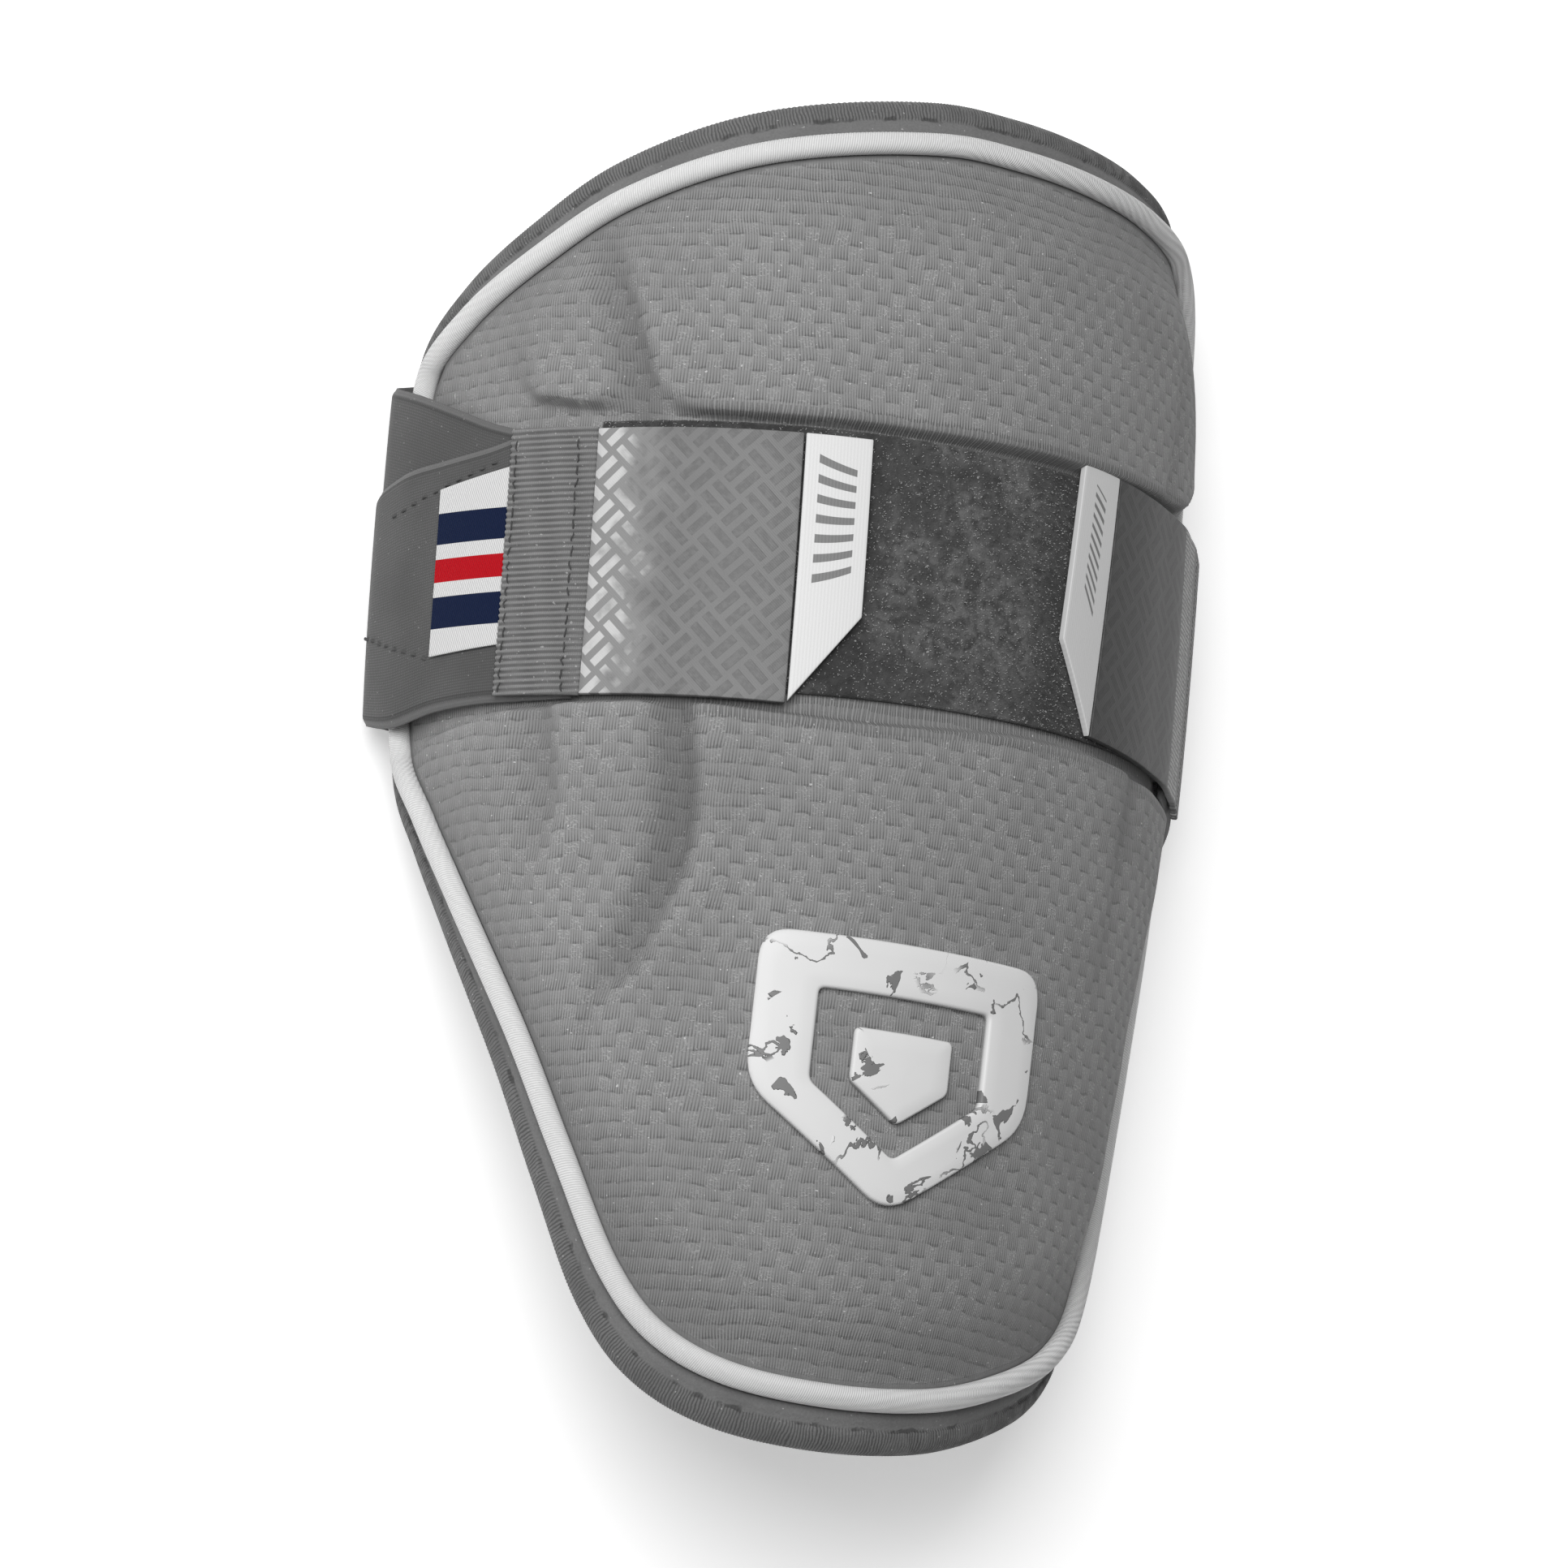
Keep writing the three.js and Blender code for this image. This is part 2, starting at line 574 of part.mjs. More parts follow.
function edgeBinding() {
  const top = -FLANGE_DROP + CLEARANCE;
  const bottom = -PAD_THICKNESS - CLEARANCE;
  const section = [
    { inset: BINDING_WIDTH - CLEARANCE, height: top },
    { inset: BINDING_WIDTH - CLEARANCE, height: top + BINDING_CLOTH },
    { inset: BINDING_CLOTH / 2, height: top + BINDING_CLOTH },
    { inset: 0, height: (top + bottom) / 2 },
    { inset: BINDING_CLOTH / 2, height: bottom - BINDING_CLOTH },
    { inset: BINDING_WIDTH, height: bottom - BINDING_CLOTH },
    { inset: BINDING_WIDTH, height: bottom },
    { inset: BINDING_CLOTH, height: bottom },
    { inset: BINDING_CLOTH, height: top },
  ];
  const place = (station, k) => besideRim(station, section[k].inset, section[k].height);
  return closedLoop("edge_binding", TRIM_STATIONS, section.length, place, COLOURS.binding, 0.9);
}

function piping() {
  const sides = 8;
  const radius = PIPING_WIDTH / 2;
  const middle = -FLANGE_DROP + CLEARANCE + radius;
  const place = (station, k) => {
    const angle = (2 * Math.PI * k) / sides;
    const inset = PIPING_INSET + radius * Math.cos(angle);
    return besideRim(station, inset, middle + radius * Math.sin(angle));
  };
  return closedLoop("piping", TRIM_STATIONS, sides, place, COLOURS.piping, 0.7);
}

// Elastic bands
const BAND_STATIONS = 84;
const BAND_STRIPS = 2;

function elasticBand(name, rows) {
  const [start, end] = [rows[0].turn, rows[rows.length - 1].turn];
  const place = (u, v, face) => {
    const turn = start + (end - start) * v;
    const [low, high, lift] = ["low", "high", "lift"].map((key) => valueAt(rows, "turn", key, turn));
    const y = HALF_LENGTH * (low + (high - low) * u);
    return onStrap(turn, y, face === UP ? lift : lift - STRAP_CLOTH);
  };
  return slab(name, BAND_STRIPS, BAND_STATIONS, place, COLOURS.elastic, 0.9);
}

// Flat pieces between four corners, with their underside at a height over the dome line
function patch(name, corners, grid, base, thickness, look) {
  const mix = (u, v, key) => {
    const low = corners.lowLeft[key] * (1 - u) + corners.lowRight[key] * u;
    const high = corners.highLeft[key] * (1 - u) + corners.highRight[key] * u;
    return low * (1 - v) + high * v;
  };
  const place = (u, v, face) => {
    const arc = RADIUS * mix(u, v, "across");
    const y = HALF_LENGTH * mix(u, v, "along");
    return onTrough(arc, y, face === UP ? base(arc, y) + thickness : base(arc, y));
  };
  return slab(name, grid.columns, grid.rows, place, look.colour, look.roughness);
}

const LOOP_BASE = -CHANNEL_DEPTH + CLEARANCE;
const TAB_BASE = LOOP_BASE + LOOP_CLOTH + CLEARANCE;

function overLowerBand(arc, y) {
  const share = Math.abs(arc) / strapLoop(y).half;
  const turn = arc < 0 ? share : 2 - share;
  return valueAt(LOWER_BAND_ROWS, "turn", "lift", turn) + CLEARANCE;
}

function overLoopPanel() {
  return TAB_BASE;
}

// The right tab climbs from the loop panel onto the ends of the bands
function rightTabBase(arc, y) {
  const [climbStart, climbEnd] = [0.82 * RADIUS, 1.0 * RADIUS];
  const climb = ease((arc - climbStart) / (climbEnd - climbStart));
  return TAB_BASE + (overLowerBand(arc, y) - TAB_BASE) * climb;
}

function strapPieces() {
  const white = { colour: COLOURS.white, roughness: 0.6 };
  const cloth = (colour) => ({ colour, roughness: 0.9 });
  return [
    patch("loop_panel", LOOP_PANEL, { columns: 22, rows: 5 }, () => LOOP_BASE, LOOP_CLOTH,
      cloth(COLOURS.loop)),
    patch("left_hook_tab", LEFT_TAB, { columns: 7, rows: 5 }, overLoopPanel, TAB_CLOTH,
      cloth(COLOURS.tab)),
    patch("left_tab_tip", LEFT_TIP, { columns: 3, rows: 5 }, overLoopPanel, TAB_CLOTH, white),
    patch("ribbon_end", RIBBON, { columns: 4, rows: 5 }, overLowerBand, RIBBON_CLOTH,
      cloth(COLOURS.ribbon)),
    patch("woven_label", LABEL, { columns: 4, rows: 4 }, overLowerBand, LABEL_CLOTH, white),
    patch("right_tab_tip", RIGHT_TIP, { columns: 3, rows: 5 }, overLoopPanel, TAB_CLOTH, white),
    patch("right_hook_tab", RIGHT_TAB, { columns: 14, rows: 5 }, rightTabBase, TAB_CLOTH,
      cloth(COLOURS.darkTab)),
    patch("right_tab_hem", RIGHT_HEM, { columns: 2, rows: 5 }, overLowerBand, TAB_CLOTH,
      cloth(COLOURS.elastic)),
    elasticBand("upper_elastic_band", UPPER_BAND_ROWS),
    elasticBand("lower_elastic_band", LOWER_BAND_ROWS),
  ];
}

// Emblem
function emblemPoint(width, length, face) {
  const arc = RADIUS * EMBLEM_ACROSS + EMBLEM_WIDTH * width;
  const y = HALF_LENGTH * EMBLEM_ALONG + EMBLEM_LENGTH * length;
  return onTrough(arc, y, face === UP ? CLEARANCE + EMBLEM_HEIGHT : CLEARANCE);
}

function emblemRing() {
  const stepsPerSide = 7;
  const stations = PLATE_CORNERS.length * stepsPerSide;
  const middle = (1 + EMBLEM_RING_HOLE) / 2;
  const section = [
    { scale: 1, face: DOWN }, { scale: 1, face: UP }, { scale: middle, face: UP },
    { scale: EMBLEM_RING_HOLE, face: UP }, { scale: EMBLEM_RING_HOLE, face: DOWN },
    { scale: middle, face: DOWN },
  ];
  const place = (station, k) => {
    const side = Math.floor(station / stepsPerSide);
    const t = (station % stepsPerSide) / stepsPerSide;
    const [a, b] = [PLATE_CORNERS[side], PLATE_CORNERS[(side + 1) % PLATE_CORNERS.length]];
    const { scale, face } = section[k];
    return emblemPoint(scale * (a.width + (b.width - a.width) * t),
      scale * (a.length + (b.length - a.length) * t), face);
  };
  return closedLoop("emblem_outline", stations, section.length, place, COLOURS.white, 0.5);
}

function emblemPlate() {
  const shoulder = PLATE_CORNERS[2].length;
  const blunt = 0.02;
  const place = (u, v, face) => {
    const length = v - 0.5;
    const half = 0.5 * clamp01(blunt + (length + 0.5) / (shoulder + 0.5));
    return emblemPoint(EMBLEM_PLATE * half * (2 * u - 1), EMBLEM_PLATE * length, face);
  };
  return slab("emblem_plate", 4, 6, place, COLOURS.white, 0.5);
}

function elbowGuard() {
  const group = new THREE.Group();
  group.name = "baseball_elbow_guard";
  group.add(paddedShell(), edgeBinding(), piping(), ...strapPieces());
  group.add(emblemRing(), emblemPlate());
  return group;
}

export default elbowGuard();
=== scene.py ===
import math

import bpy
import numpy as np
from mathutils import Matrix, Vector


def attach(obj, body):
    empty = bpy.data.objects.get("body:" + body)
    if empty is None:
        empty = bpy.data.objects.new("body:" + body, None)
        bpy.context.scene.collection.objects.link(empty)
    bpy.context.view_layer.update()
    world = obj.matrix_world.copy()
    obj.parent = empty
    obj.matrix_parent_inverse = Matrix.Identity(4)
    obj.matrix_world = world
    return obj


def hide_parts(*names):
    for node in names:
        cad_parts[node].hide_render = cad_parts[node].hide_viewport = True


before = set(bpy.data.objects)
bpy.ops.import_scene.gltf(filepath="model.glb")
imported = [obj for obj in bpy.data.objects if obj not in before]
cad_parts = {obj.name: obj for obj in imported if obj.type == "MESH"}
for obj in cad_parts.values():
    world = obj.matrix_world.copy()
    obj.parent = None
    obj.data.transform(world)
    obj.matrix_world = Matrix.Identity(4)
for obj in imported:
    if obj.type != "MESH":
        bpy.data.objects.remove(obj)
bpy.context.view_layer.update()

MM = 0.001

# Sizes in millimetres, after the CAD source's
LENGTH = 224
RADIUS = 72
CROWN = 72.6
END_DROP = 9
PAD_THICKNESS = 8
FLANGE_DROP = 4.8
CHANNEL_DEPTH = 3.2
BINDING_WIDTH = 6
BINDING_CLOTH = 0.8
PIPING_WIDTH = 3.9
PIPING_INSET = 8
DOME_INSET = 17
CLEARANCE = 0.3
FOLD_RADIUS = 8                 # rounder than in the CAD
LOOP_CLOTH = 0.9
TAB_CLOTH = 1.2
RIBBON_CLOTH = 0.7
LABEL_CLOTH = 0.4
EMBLEM_HEIGHT = 1.1
CHANNEL_WALL = 1.5
HALF_LENGTH = LENGTH / 2
LOOP_BASE = -CHANNEL_DEPTH + CLEARANCE
TAB_BASE = LOOP_BASE + LOOP_CLOTH + CLEARANCE
PIPING_TOP = -FLANGE_DROP + CLEARANCE + PIPING_WIDTH
BAND_CLOTH = 0.9                # drawn thinner than in the CAD, so the bands lie close
BAND_STEP = BAND_CLOTH + 0.05
STRAP_LIFT = PIPING_TOP + 2 * BAND_STEP


def lower_lift(rise):
    """Height of the lower band's outer face: 0 in the channel, 1 over the piping."""
    return (1 - rise) * (2 * BAND_STEP - CHANNEL_DEPTH) + rise * STRAP_LIFT


def upper_lift(rise):
    return lower_lift(rise) - BAND_STEP


# Tables: "along" is a share of half the length, "across" an arc as a share of RADIUS
RADIUS_ROWS = {
    "along": [-1.0, -0.67, -0.33, 0.0, 0.33, 0.67, 1.0],
    "radius": [0.826, 0.864, 0.913, 0.967, 0.992, 1.0, 0.986],
}
RIM_ROWS = {
    "across": [-0.003, -0.427, -0.774, -1.012, -1.236, -1.412, -1.477, -1.487, -1.486, -1.446,
               -1.316, -1.168, -0.964, -0.8, -0.641, -0.481, -0.268, 0.004, 0.29, 0.546, 0.778,
               0.965, 1.093, 1.167, 1.231, 1.328, 1.431, 1.479, 1.484, 1.457, 1.386, 1.23, 1.002,
               0.729, 0.488, 0.237],
    "along": [0.994, 0.944, 0.864, 0.78, 0.697, 0.608, 0.47, 0.3, 0.12, -0.051, -0.164, -0.288,
              -0.472, -0.649, -0.82, -0.924, -0.983, -1.0, -0.982, -0.933, -0.869, -0.783, -0.65,
              -0.477, -0.29, -0.105, 0.059, 0.231, 0.414, 0.598, 0.763, 0.889, 0.968, 0.99, 0.998,
              1.0],
}
INNER_CREASE = {
    "along": [-0.74, -0.43, -0.36, -0.28, -0.2, -0.12, 0.02, 0.48, 0.6, 0.7, 0.78],
    "across": [-0.33, -0.655, -0.603, -0.55, -0.507, -0.497, -0.525, -0.655, -0.706, -0.757,
               -0.8],
    "depth": [0.0, 0.0, 0.2, 0.27, 0.33, 0.33, 0.3, 0.3, 0.27, 0.18, 0.0],
}
OUTER_CREASE = {
    "along": [-0.24, -0.16, -0.1, 0.014, 0.48, 0.6, 0.68],
    "across": [-0.86, -0.834, -0.83, -0.862, -0.952, -0.99, -1.02],
    "depth": [0.0, 0.15, 0.2, 0.2, 0.12, 0.08, 0.0],
}
RIGHT_CREASE = {
    "along": [-0.74, -0.33, -0.247, -0.1, 0.02, 0.49, 0.57, 0.68, 0.8],
    "across": [0.55, 0.66, 0.681, 0.708, 0.732, 0.844, 0.87, 0.898, 0.91],
    "depth": [0.0, 0.0, 0.12, 0.18, 0.22, 0.2, 0.18, 0.14, 0.0],
}
CHANNEL_ROWS = {
    "across": [-1.5, -1.2, -0.95, -0.6, -0.1, 0.4, 0.8, 1.2, 1.5],
    "low": [-0.03, -0.005, 0.018, 0.028, 0.022, 0.05, 0.048, 0.03, 0.0],
    "high": [0.6, 0.56, 0.5, 0.474, 0.475, 0.485, 0.496, 0.525, 0.55],
}
LOWER_BAND_ROWS = {
    "turn": [0.32, 0.38, 0.43, 0.48, 0.54, 0.65, 0.8, 1.0, 1.2, 1.35, 1.46, 1.52, 1.57],
    "low": [0.038, 0.037, 0.037, 0.032, 0.018, 0.045, -0.05, -0.18, -0.16, -0.045, 0.04, 0.065,
            0.072],
    "high": [0.441, 0.441, 0.423, 0.412, 0.4, 0.352, 0.237, 0.157, 0.237, 0.352, 0.437, 0.462,
             0.469],
    "lift": [lower_lift(rise) for rise in (0, 0, 0.19, 0.5, 1, 1, 1, 1, 1, 1, 1, 0.35, 0)],
}
UPPER_BAND_ROWS = {
    "turn": [0.32, 0.38, 0.43, 0.48, 0.54, 0.65, 0.8, 0.89, 1.0, 1.11, 1.2, 1.35, 1.46, 1.52,
             1.57],
    "low": [0.12, 0.122, 0.14, 0.17, 0.205, 0.26, 0.33, 0.35, 0.36, 0.35, 0.33, 0.26, 0.2, 0.165,
            0.148],
    "high": [0.441, 0.443, 0.461, 0.491, 0.527, 0.58, 0.65, 0.67, 0.68, 0.67, 0.65, 0.58, 0.52,
             0.485, 0.468],
    "lift": [upper_lift(rise) for rise in (0, 0, 0.19, 0.5, 1, 1, 1)] + [STRAP_LIFT] * 3
            + [upper_lift(rise) for rise in (1, 1, 1, 0.35, 0)],
}

# Corners of the flat pieces: low left, low right, high left, high right as (across, along)
LOOP_PANEL = [(-0.76, 0.05), (1.03, 0.09), (-0.76, 0.452), (1.03, 0.474)]
LEFT_TAB = [(-0.775, 0.042), (-0.284, 0.042), (-0.775, 0.438), (-0.284, 0.445)]
LEFT_TIP = [(-0.279, 0.045), (-0.125, 0.18), (-0.279, 0.445), (-0.125, 0.447)]
RIBBON = [(-0.985, 0.044), (-0.76, 0.039), (-0.985, 0.444), (-0.76, 0.44)]
LABEL = [(-1.19, 0.112), (-0.99, 0.121), (-1.19, 0.364), (-0.99, 0.388)]
RIGHT_TIP = [(0.408, 0.214), (0.522, 0.083), (0.45, 0.486), (0.58, 0.484)]
RIGHT_TAB = [(0.527, 0.083), (1.155, 0.072), (0.585, 0.484), (1.155, 0.473)]
TAB_STRIP = [(across - RIGHT_TAB[0][0]) * RADIUS for across in (0.98, 1.11)]
RIGHT_HEM = [(1.16, 0.07), (1.22, 0.06), (1.16, 0.472), (1.22, 0.462)]

EMBLEM_ACROSS = 0.058
EMBLEM_ALONG = -0.478
EMBLEM_WIDTH = 50
EMBLEM_LENGTH = 43
EMBLEM_RING_HOLE = 0.6
EMBLEM_PLATE = 0.34
PLATE_CORNERS = np.array([(-0.5, 0.5), (0.5, 0.5), (0.5, -0.08), (0.0, -0.5), (-0.5, -0.08)])


# Curves through tables
def value_at(rows, key, column, where):
    x, y = np.array(rows[key], float), np.array(rows[column], float)
    before = np.maximum(np.arange(len(x)) - 1, 0)
    after = np.minimum(np.arange(len(x)) + 1, len(x) - 1)
    slope = (y[after] - y[before]) / (x[after] - x[before])
    where = np.clip(np.asarray(where, float), x[0], x[-1])
    i = np.clip(np.searchsorted(x, where, side="right") - 1, 0, len(x) - 2)
    span = x[i + 1] - x[i]
    t = (where - x[i]) / span
    keep = 2 * t**3 - 3 * t**2 + 1
    bend = (t**3 - 2 * t**2 + t) * slope[i] + (t**3 - t**2) * slope[i + 1]
    return keep * y[i] + (1 - keep) * y[i + 1] + span * bend


def ease(x):
    t = np.clip(x, 0, 1)
    return t * t * (3 - 2 * t)


def ramp(value, start, width):
    """Smooth rise from 0 at the start to 1 a width later."""
    return ease((value - start) / width)


def closed(points):
    return np.concatenate([points, points[:1]])


def way_along(points):
    """Way from the first point to each, along the line through them."""
    steps = np.linalg.norm(np.diff(points, axis=0), axis=1)
    return np.concatenate([[0], np.cumsum(steps)])


# The trough that everything lies on, in millimetres
def radius_at(y):
    return RADIUS * value_at(RADIUS_ROWS, "along", "radius", np.asarray(y) / HALF_LENGTH)


def crown_at(y):
    return CROWN - END_DROP * (np.asarray(y) / HALF_LENGTH) ** 2


def on_trough(arc, y, height):
    radius = radius_at(y)
    angle = arc / radius
    reach = radius + height
    z = crown_at(y) - radius + reach * np.cos(angle)
    return np.stack(np.broadcast_arrays(reach * np.sin(angle), y, z), -1)


def strap_path(y):
    """Trough's radius, the angle where the strap leaves it and half its flat back's width."""
    radius = radius_at(y)
    axis = crown_at(y) - radius
    leave = np.arccos((STRAP_LIFT + FOLD_RADIUS - axis) / (radius - FOLD_RADIUS))
    return radius, leave, (radius - FOLD_RADIUS) * np.sin(leave)


def on_strap(turn, y, height):
    turn, y, height = np.broadcast_arrays(*[np.asarray(a, float) for a in (turn, y, height)])
    radius, leave, flat_half = strap_path(y)
    on_arc, in_fold = radius * leave, FOLD_RADIUS * (math.pi - leave)
    half = on_arc + in_fold + flat_half
    side = np.where(turn <= 1, -1.0, 1.0)
    arc = half * np.where(turn <= 1, turn, 2 - turn)
    around = on_trough(arc, y, height)
    angle = leave + (arc - on_arc) / FOLD_RADIUS
    reach = FOLD_RADIUS + height
    fold_z = STRAP_LIFT + FOLD_RADIUS + reach * np.cos(angle)
    in_arc, in_bend = arc <= on_arc, arc <= on_arc + in_fold
    x = np.where(in_arc, around[..., 0],
                 np.where(in_bend, flat_half + reach * np.sin(angle), half - arc))
    z = np.where(in_arc, around[..., 2], np.where(in_bend, fold_z, STRAP_LIFT - height))
    return np.stack([side * x, y, z], -1)


def strap_half(y):
    radius, leave, flat_half = strap_path(y)
    return radius * leave + FOLD_RADIUS * (math.pi - leave) + flat_half


# Rim outline
RIM_SAMPLES = 720


def rim_samples():
    count = len(RIM_ROWS["across"])
    place = np.arange(RIM_SAMPLES) * count / RIM_SAMPLES
    index = np.floor(place).astype(int)
    t = place - index
    out = []
    for key, size in (("across", RADIUS), ("along", HALF_LENGTH)):
        p = np.array(RIM_ROWS[key])
        p0, p1, p2, p3 = (p[(index + k) % count] for k in (-1, 0, 1, 2))
        curve = 2 * p1 + (p2 - p0) * t + (2 * p0 - 5 * p1 + 4 * p2 - p3) * t**2
        out.append(size * 0.5 * (curve + (3 * p1 - p0 - 3 * p2 + p3) * t**3))
    points = np.stack(out, 1)
    run = np.roll(points, -1, 0) - np.roll(points, 1, 0)
    run /= np.linalg.norm(run, axis=1)[:, None]
    return points, np.stack([-run[:, 1], run[:, 0]], 1)


RIM, RIM_INWARD = rim_samples()


def inset_points(places, inset):
    places = np.asarray(places, float)
    index = np.floor(places).astype(int)
    t = (places - index)[..., None]
    a, b = index % RIM_SAMPLES, (index + 1) % RIM_SAMPLES
    rim = RIM[a] * (1 - t) + RIM[b] * t
    return rim + np.asarray(inset)[..., None] * (RIM_INWARD[a] * (1 - t) + RIM_INWARD[b] * t)


DOME_LINE = RIM + DOME_INSET * RIM_INWARD


def crossing(key, value, side):
    """Place on the dome line where it meets arc (key 0) or y (key 1), on one side."""
    a, b = DOME_LINE, np.roll(DOME_LINE, -1, 0)
    hit = np.nonzero((a[:, key] - value) * (b[:, key] - value) <= 0)[0]
    t = (value - a[hit, key]) / (b[hit, key] - a[hit, key])
    other = a[hit, 1 - key] * (1 - t) + b[hit, 1 - key] * t
    best = np.argmax(side * other)
    return hit[best] + t[best]


def rim_distance(arc, y):
    """Distance in from the rim, for points that are not on an inset line."""
    flat = np.stack([np.ravel(arc), np.ravel(y)], 1)
    out = np.empty(len(flat))
    for start in range(0, len(flat), 4000):
        part = flat[start:start + 4000]
        away = np.linalg.norm(part[:, None] - RIM[None, ::2], axis=2)
        out[start:start + 4000] = away.min(1)
    return out.reshape(np.shape(arc))


# Relief of the dome
SHOULDER_START = 9.9           # the cloth leaves the piping here, inside the rim
SHOULDER_BASE = -3.4
SHOULDER_WIDTH = 10.6
SHOULDER_ROUND = 0.85
RIGHT_SHOULDER = 4             # how much wider the shoulder is at the right and the lower end
RIGHT_SHOULDER_START = -0.1
RIGHT_SHOULDER_BLEND = 0.6
LOWER_SHOULDER = 8
LOWER_SHOULDER_START = 0.55
LOWER_SHOULDER_BLEND = 0.3
CREASES = [                    # rows, the side that is steep (+1: right) and how deep it is drawn
    (INNER_CREASE, 1, 1.5),
    (OUTER_CREASE, 1, 1.3),
    (RIGHT_CREASE, -1, 0.6),
]
DEEPEST_CREASE = 4.8
CREASE_STEEP = 4.6             # widths of a crease's two sides and of the ridge beside it
CREASE_GENTLE = 7.0
RIDGE_AWAY = 6.2
RIDGE_WIDTH = 3.2
RIDGE_SHARE = 0.2
PUCKER = -0.65                 # arc share where the inner crease pulls the channel's edge out
PUCKER_WIDTH = 0.08
PUCKER_SHARE = 0.5
LEFT_FADE = 0.93               # arc share from which that edge fades to the left
LEFT_FADE_WIDTH = 0.1
RIGHT_FADE = 0.95
RIGHT_FADE_WIDTH = 0.2
RIGHT_FADE_SHARE = 0.45
FADED_WALL = 13.0


def crease_height(arc, y):
    """Dents with one steep and one gentle side, and a low ridge beside each."""
    along = y / HALF_LENGTH
    height = np.zeros(np.shape(arc))
    for rows, steep, share in CREASES:
        away = steep * (arc - RADIUS * value_at(rows, "along", "across", along))
        depth = PAD_THICKNESS * value_at(rows, "along", "depth", along)
        side = np.where(away > 0, away / CREASE_STEEP, -away / CREASE_GENTLE)
        dent = 0.5 + 0.5 * np.cos(math.pi * np.clip(side, 0, 1))
        ridge = np.exp(-(((away - RIDGE_AWAY) / RIDGE_WIDTH) ** 2))
        height += depth * share * (RIDGE_SHARE * ridge - dent)
    return height


def wall_fade(arc):
    """How far the channel's upper wall is flattened: at the left, the pucker and the right."""
    across = arc / RADIUS
    pucker = PUCKER_SHARE * np.exp(-(((across - PUCKER) / PUCKER_WIDTH) ** 2))
    return (ramp(-across, LEFT_FADE, LEFT_FADE_WIDTH) + pucker
            + RIGHT_FADE_SHARE * ramp(across, RIGHT_FADE, RIGHT_FADE_WIDTH))


def channel_edges(arc):
    return [HALF_LENGTH * value_at(CHANNEL_ROWS, "across", key, arc / RADIUS)
            for key in ("low", "high")]


def channel_share(arc, y):
    low, high = channel_edges(arc)
    extra = wall_fade(arc) * (FADED_WALL - CHANNEL_WALL)
    upper = (high + extra - y) / (CHANNEL_WALL + extra)
    return np.clip(np.minimum((y - low) / CHANNEL_WALL, upper), 0, 1)


WING_THINNING = 1.4
WING_ARC = 0.95                # the pad is thinner to the left of this arc share
WING_BLEND = 0.25
CLOTH_DROP = 0.1


def ripple(arc, y):
    """Slack in the cloth: low, broad waves."""
    return (0.16 * np.sin(arc / 7.3 + 1.4 * np.sin(y / 23)) * np.sin(y / 11.7 + 0.9)
            + 0.12 * np.sin(arc / 3.9 + y / 6.1) * np.sin(y / 5.2 - arc / 13))


def outer_height(arc, y, inset):
    across, down = arc / RADIUS, -y / HALF_LENGTH
    width = (SHOULDER_WIDTH
             + RIGHT_SHOULDER * ramp(across, RIGHT_SHOULDER_START, RIGHT_SHOULDER_BLEND)
             + LOWER_SHOULDER * ramp(down, LOWER_SHOULDER_START, LOWER_SHOULDER_BLEND))
    roll = ramp(inset, SHOULDER_START, width) ** SHOULDER_ROUND
    wing = WING_THINNING * ramp(-across, WING_ARC, WING_BLEND)
    dome = np.maximum(crease_height(arc, y) - wing, -DEEPEST_CREASE) + ripple(arc, y) - CLOTH_DROP
    opened = dome + (-CHANNEL_DEPTH - dome) * ease(channel_share(arc, y))
    height = SHOULDER_BASE + (opened - SHOULDER_BASE) * roll
    return height + (-FLANGE_DROP - height) * ease(SHOULDER_START - inset)


# Meshes
def new_object(name, data):
    obj = bpy.data.objects.new(name, data)
    bpy.context.scene.collection.objects.link(obj)
    return obj


def make_object(name, points, faces, uv, material):
    mesh = bpy.data.meshes.new(name)
    mesh.from_pydata((np.asarray(points, float) * MM).tolist(), [], [list(f) for f in faces])
    if uv is not None:
        corner_vertex = np.zeros(len(mesh.loops), int)
        mesh.loops.foreach_get("vertex_index", corner_vertex)
        uv = np.asarray(uv, float)[corner_vertex]
        for name_of_layer, columns in (("cloth", uv[:, :2]), ("zone", uv[:, 2:])):
            if columns.shape[1]:
                layer = mesh.uv_layers.new(name=name_of_layer)
                layer.data.foreach_set("uv", columns.ravel())
    mesh.polygons.foreach_set("use_smooth", [True] * len(mesh.polygons))
    mesh.update()
    mesh.materials.append(material)
    return new_object(name, mesh)


def quads(a, b, c, d):
    return np.stack([a, b, c, d], -1).reshape(-1, 4)


def counted(rows, columns):
    return np.meshgrid(np.arange(rows), np.arange(columns), indexing="ij")


def grid_faces(rows, columns):
    i, j = counted(rows, columns)
    a = i * (columns + 1) + j
    return quads(a, a + 1, a + columns + 2, a + columns + 1)


def tube_faces(rings, around):
    """Faces between closed rings of points, one ring after the other."""
    i, j = counted(rings - 1, around)
    here, ahead = i * around + j, i * around + (j + 1) % around
    return quads(here, ahead, ahead + around, here + around)


def end_caps(rings, around):
    return [list(range(around))[::-1], list(range((rings - 1) * around, rings * around))]


def wall_faces(rim, layer):
    """Faces between a closed row of points and the same row on the next layer."""
    after = np.roll(rim, -1)
    return quads(after, rim, rim + layer, after + layer)


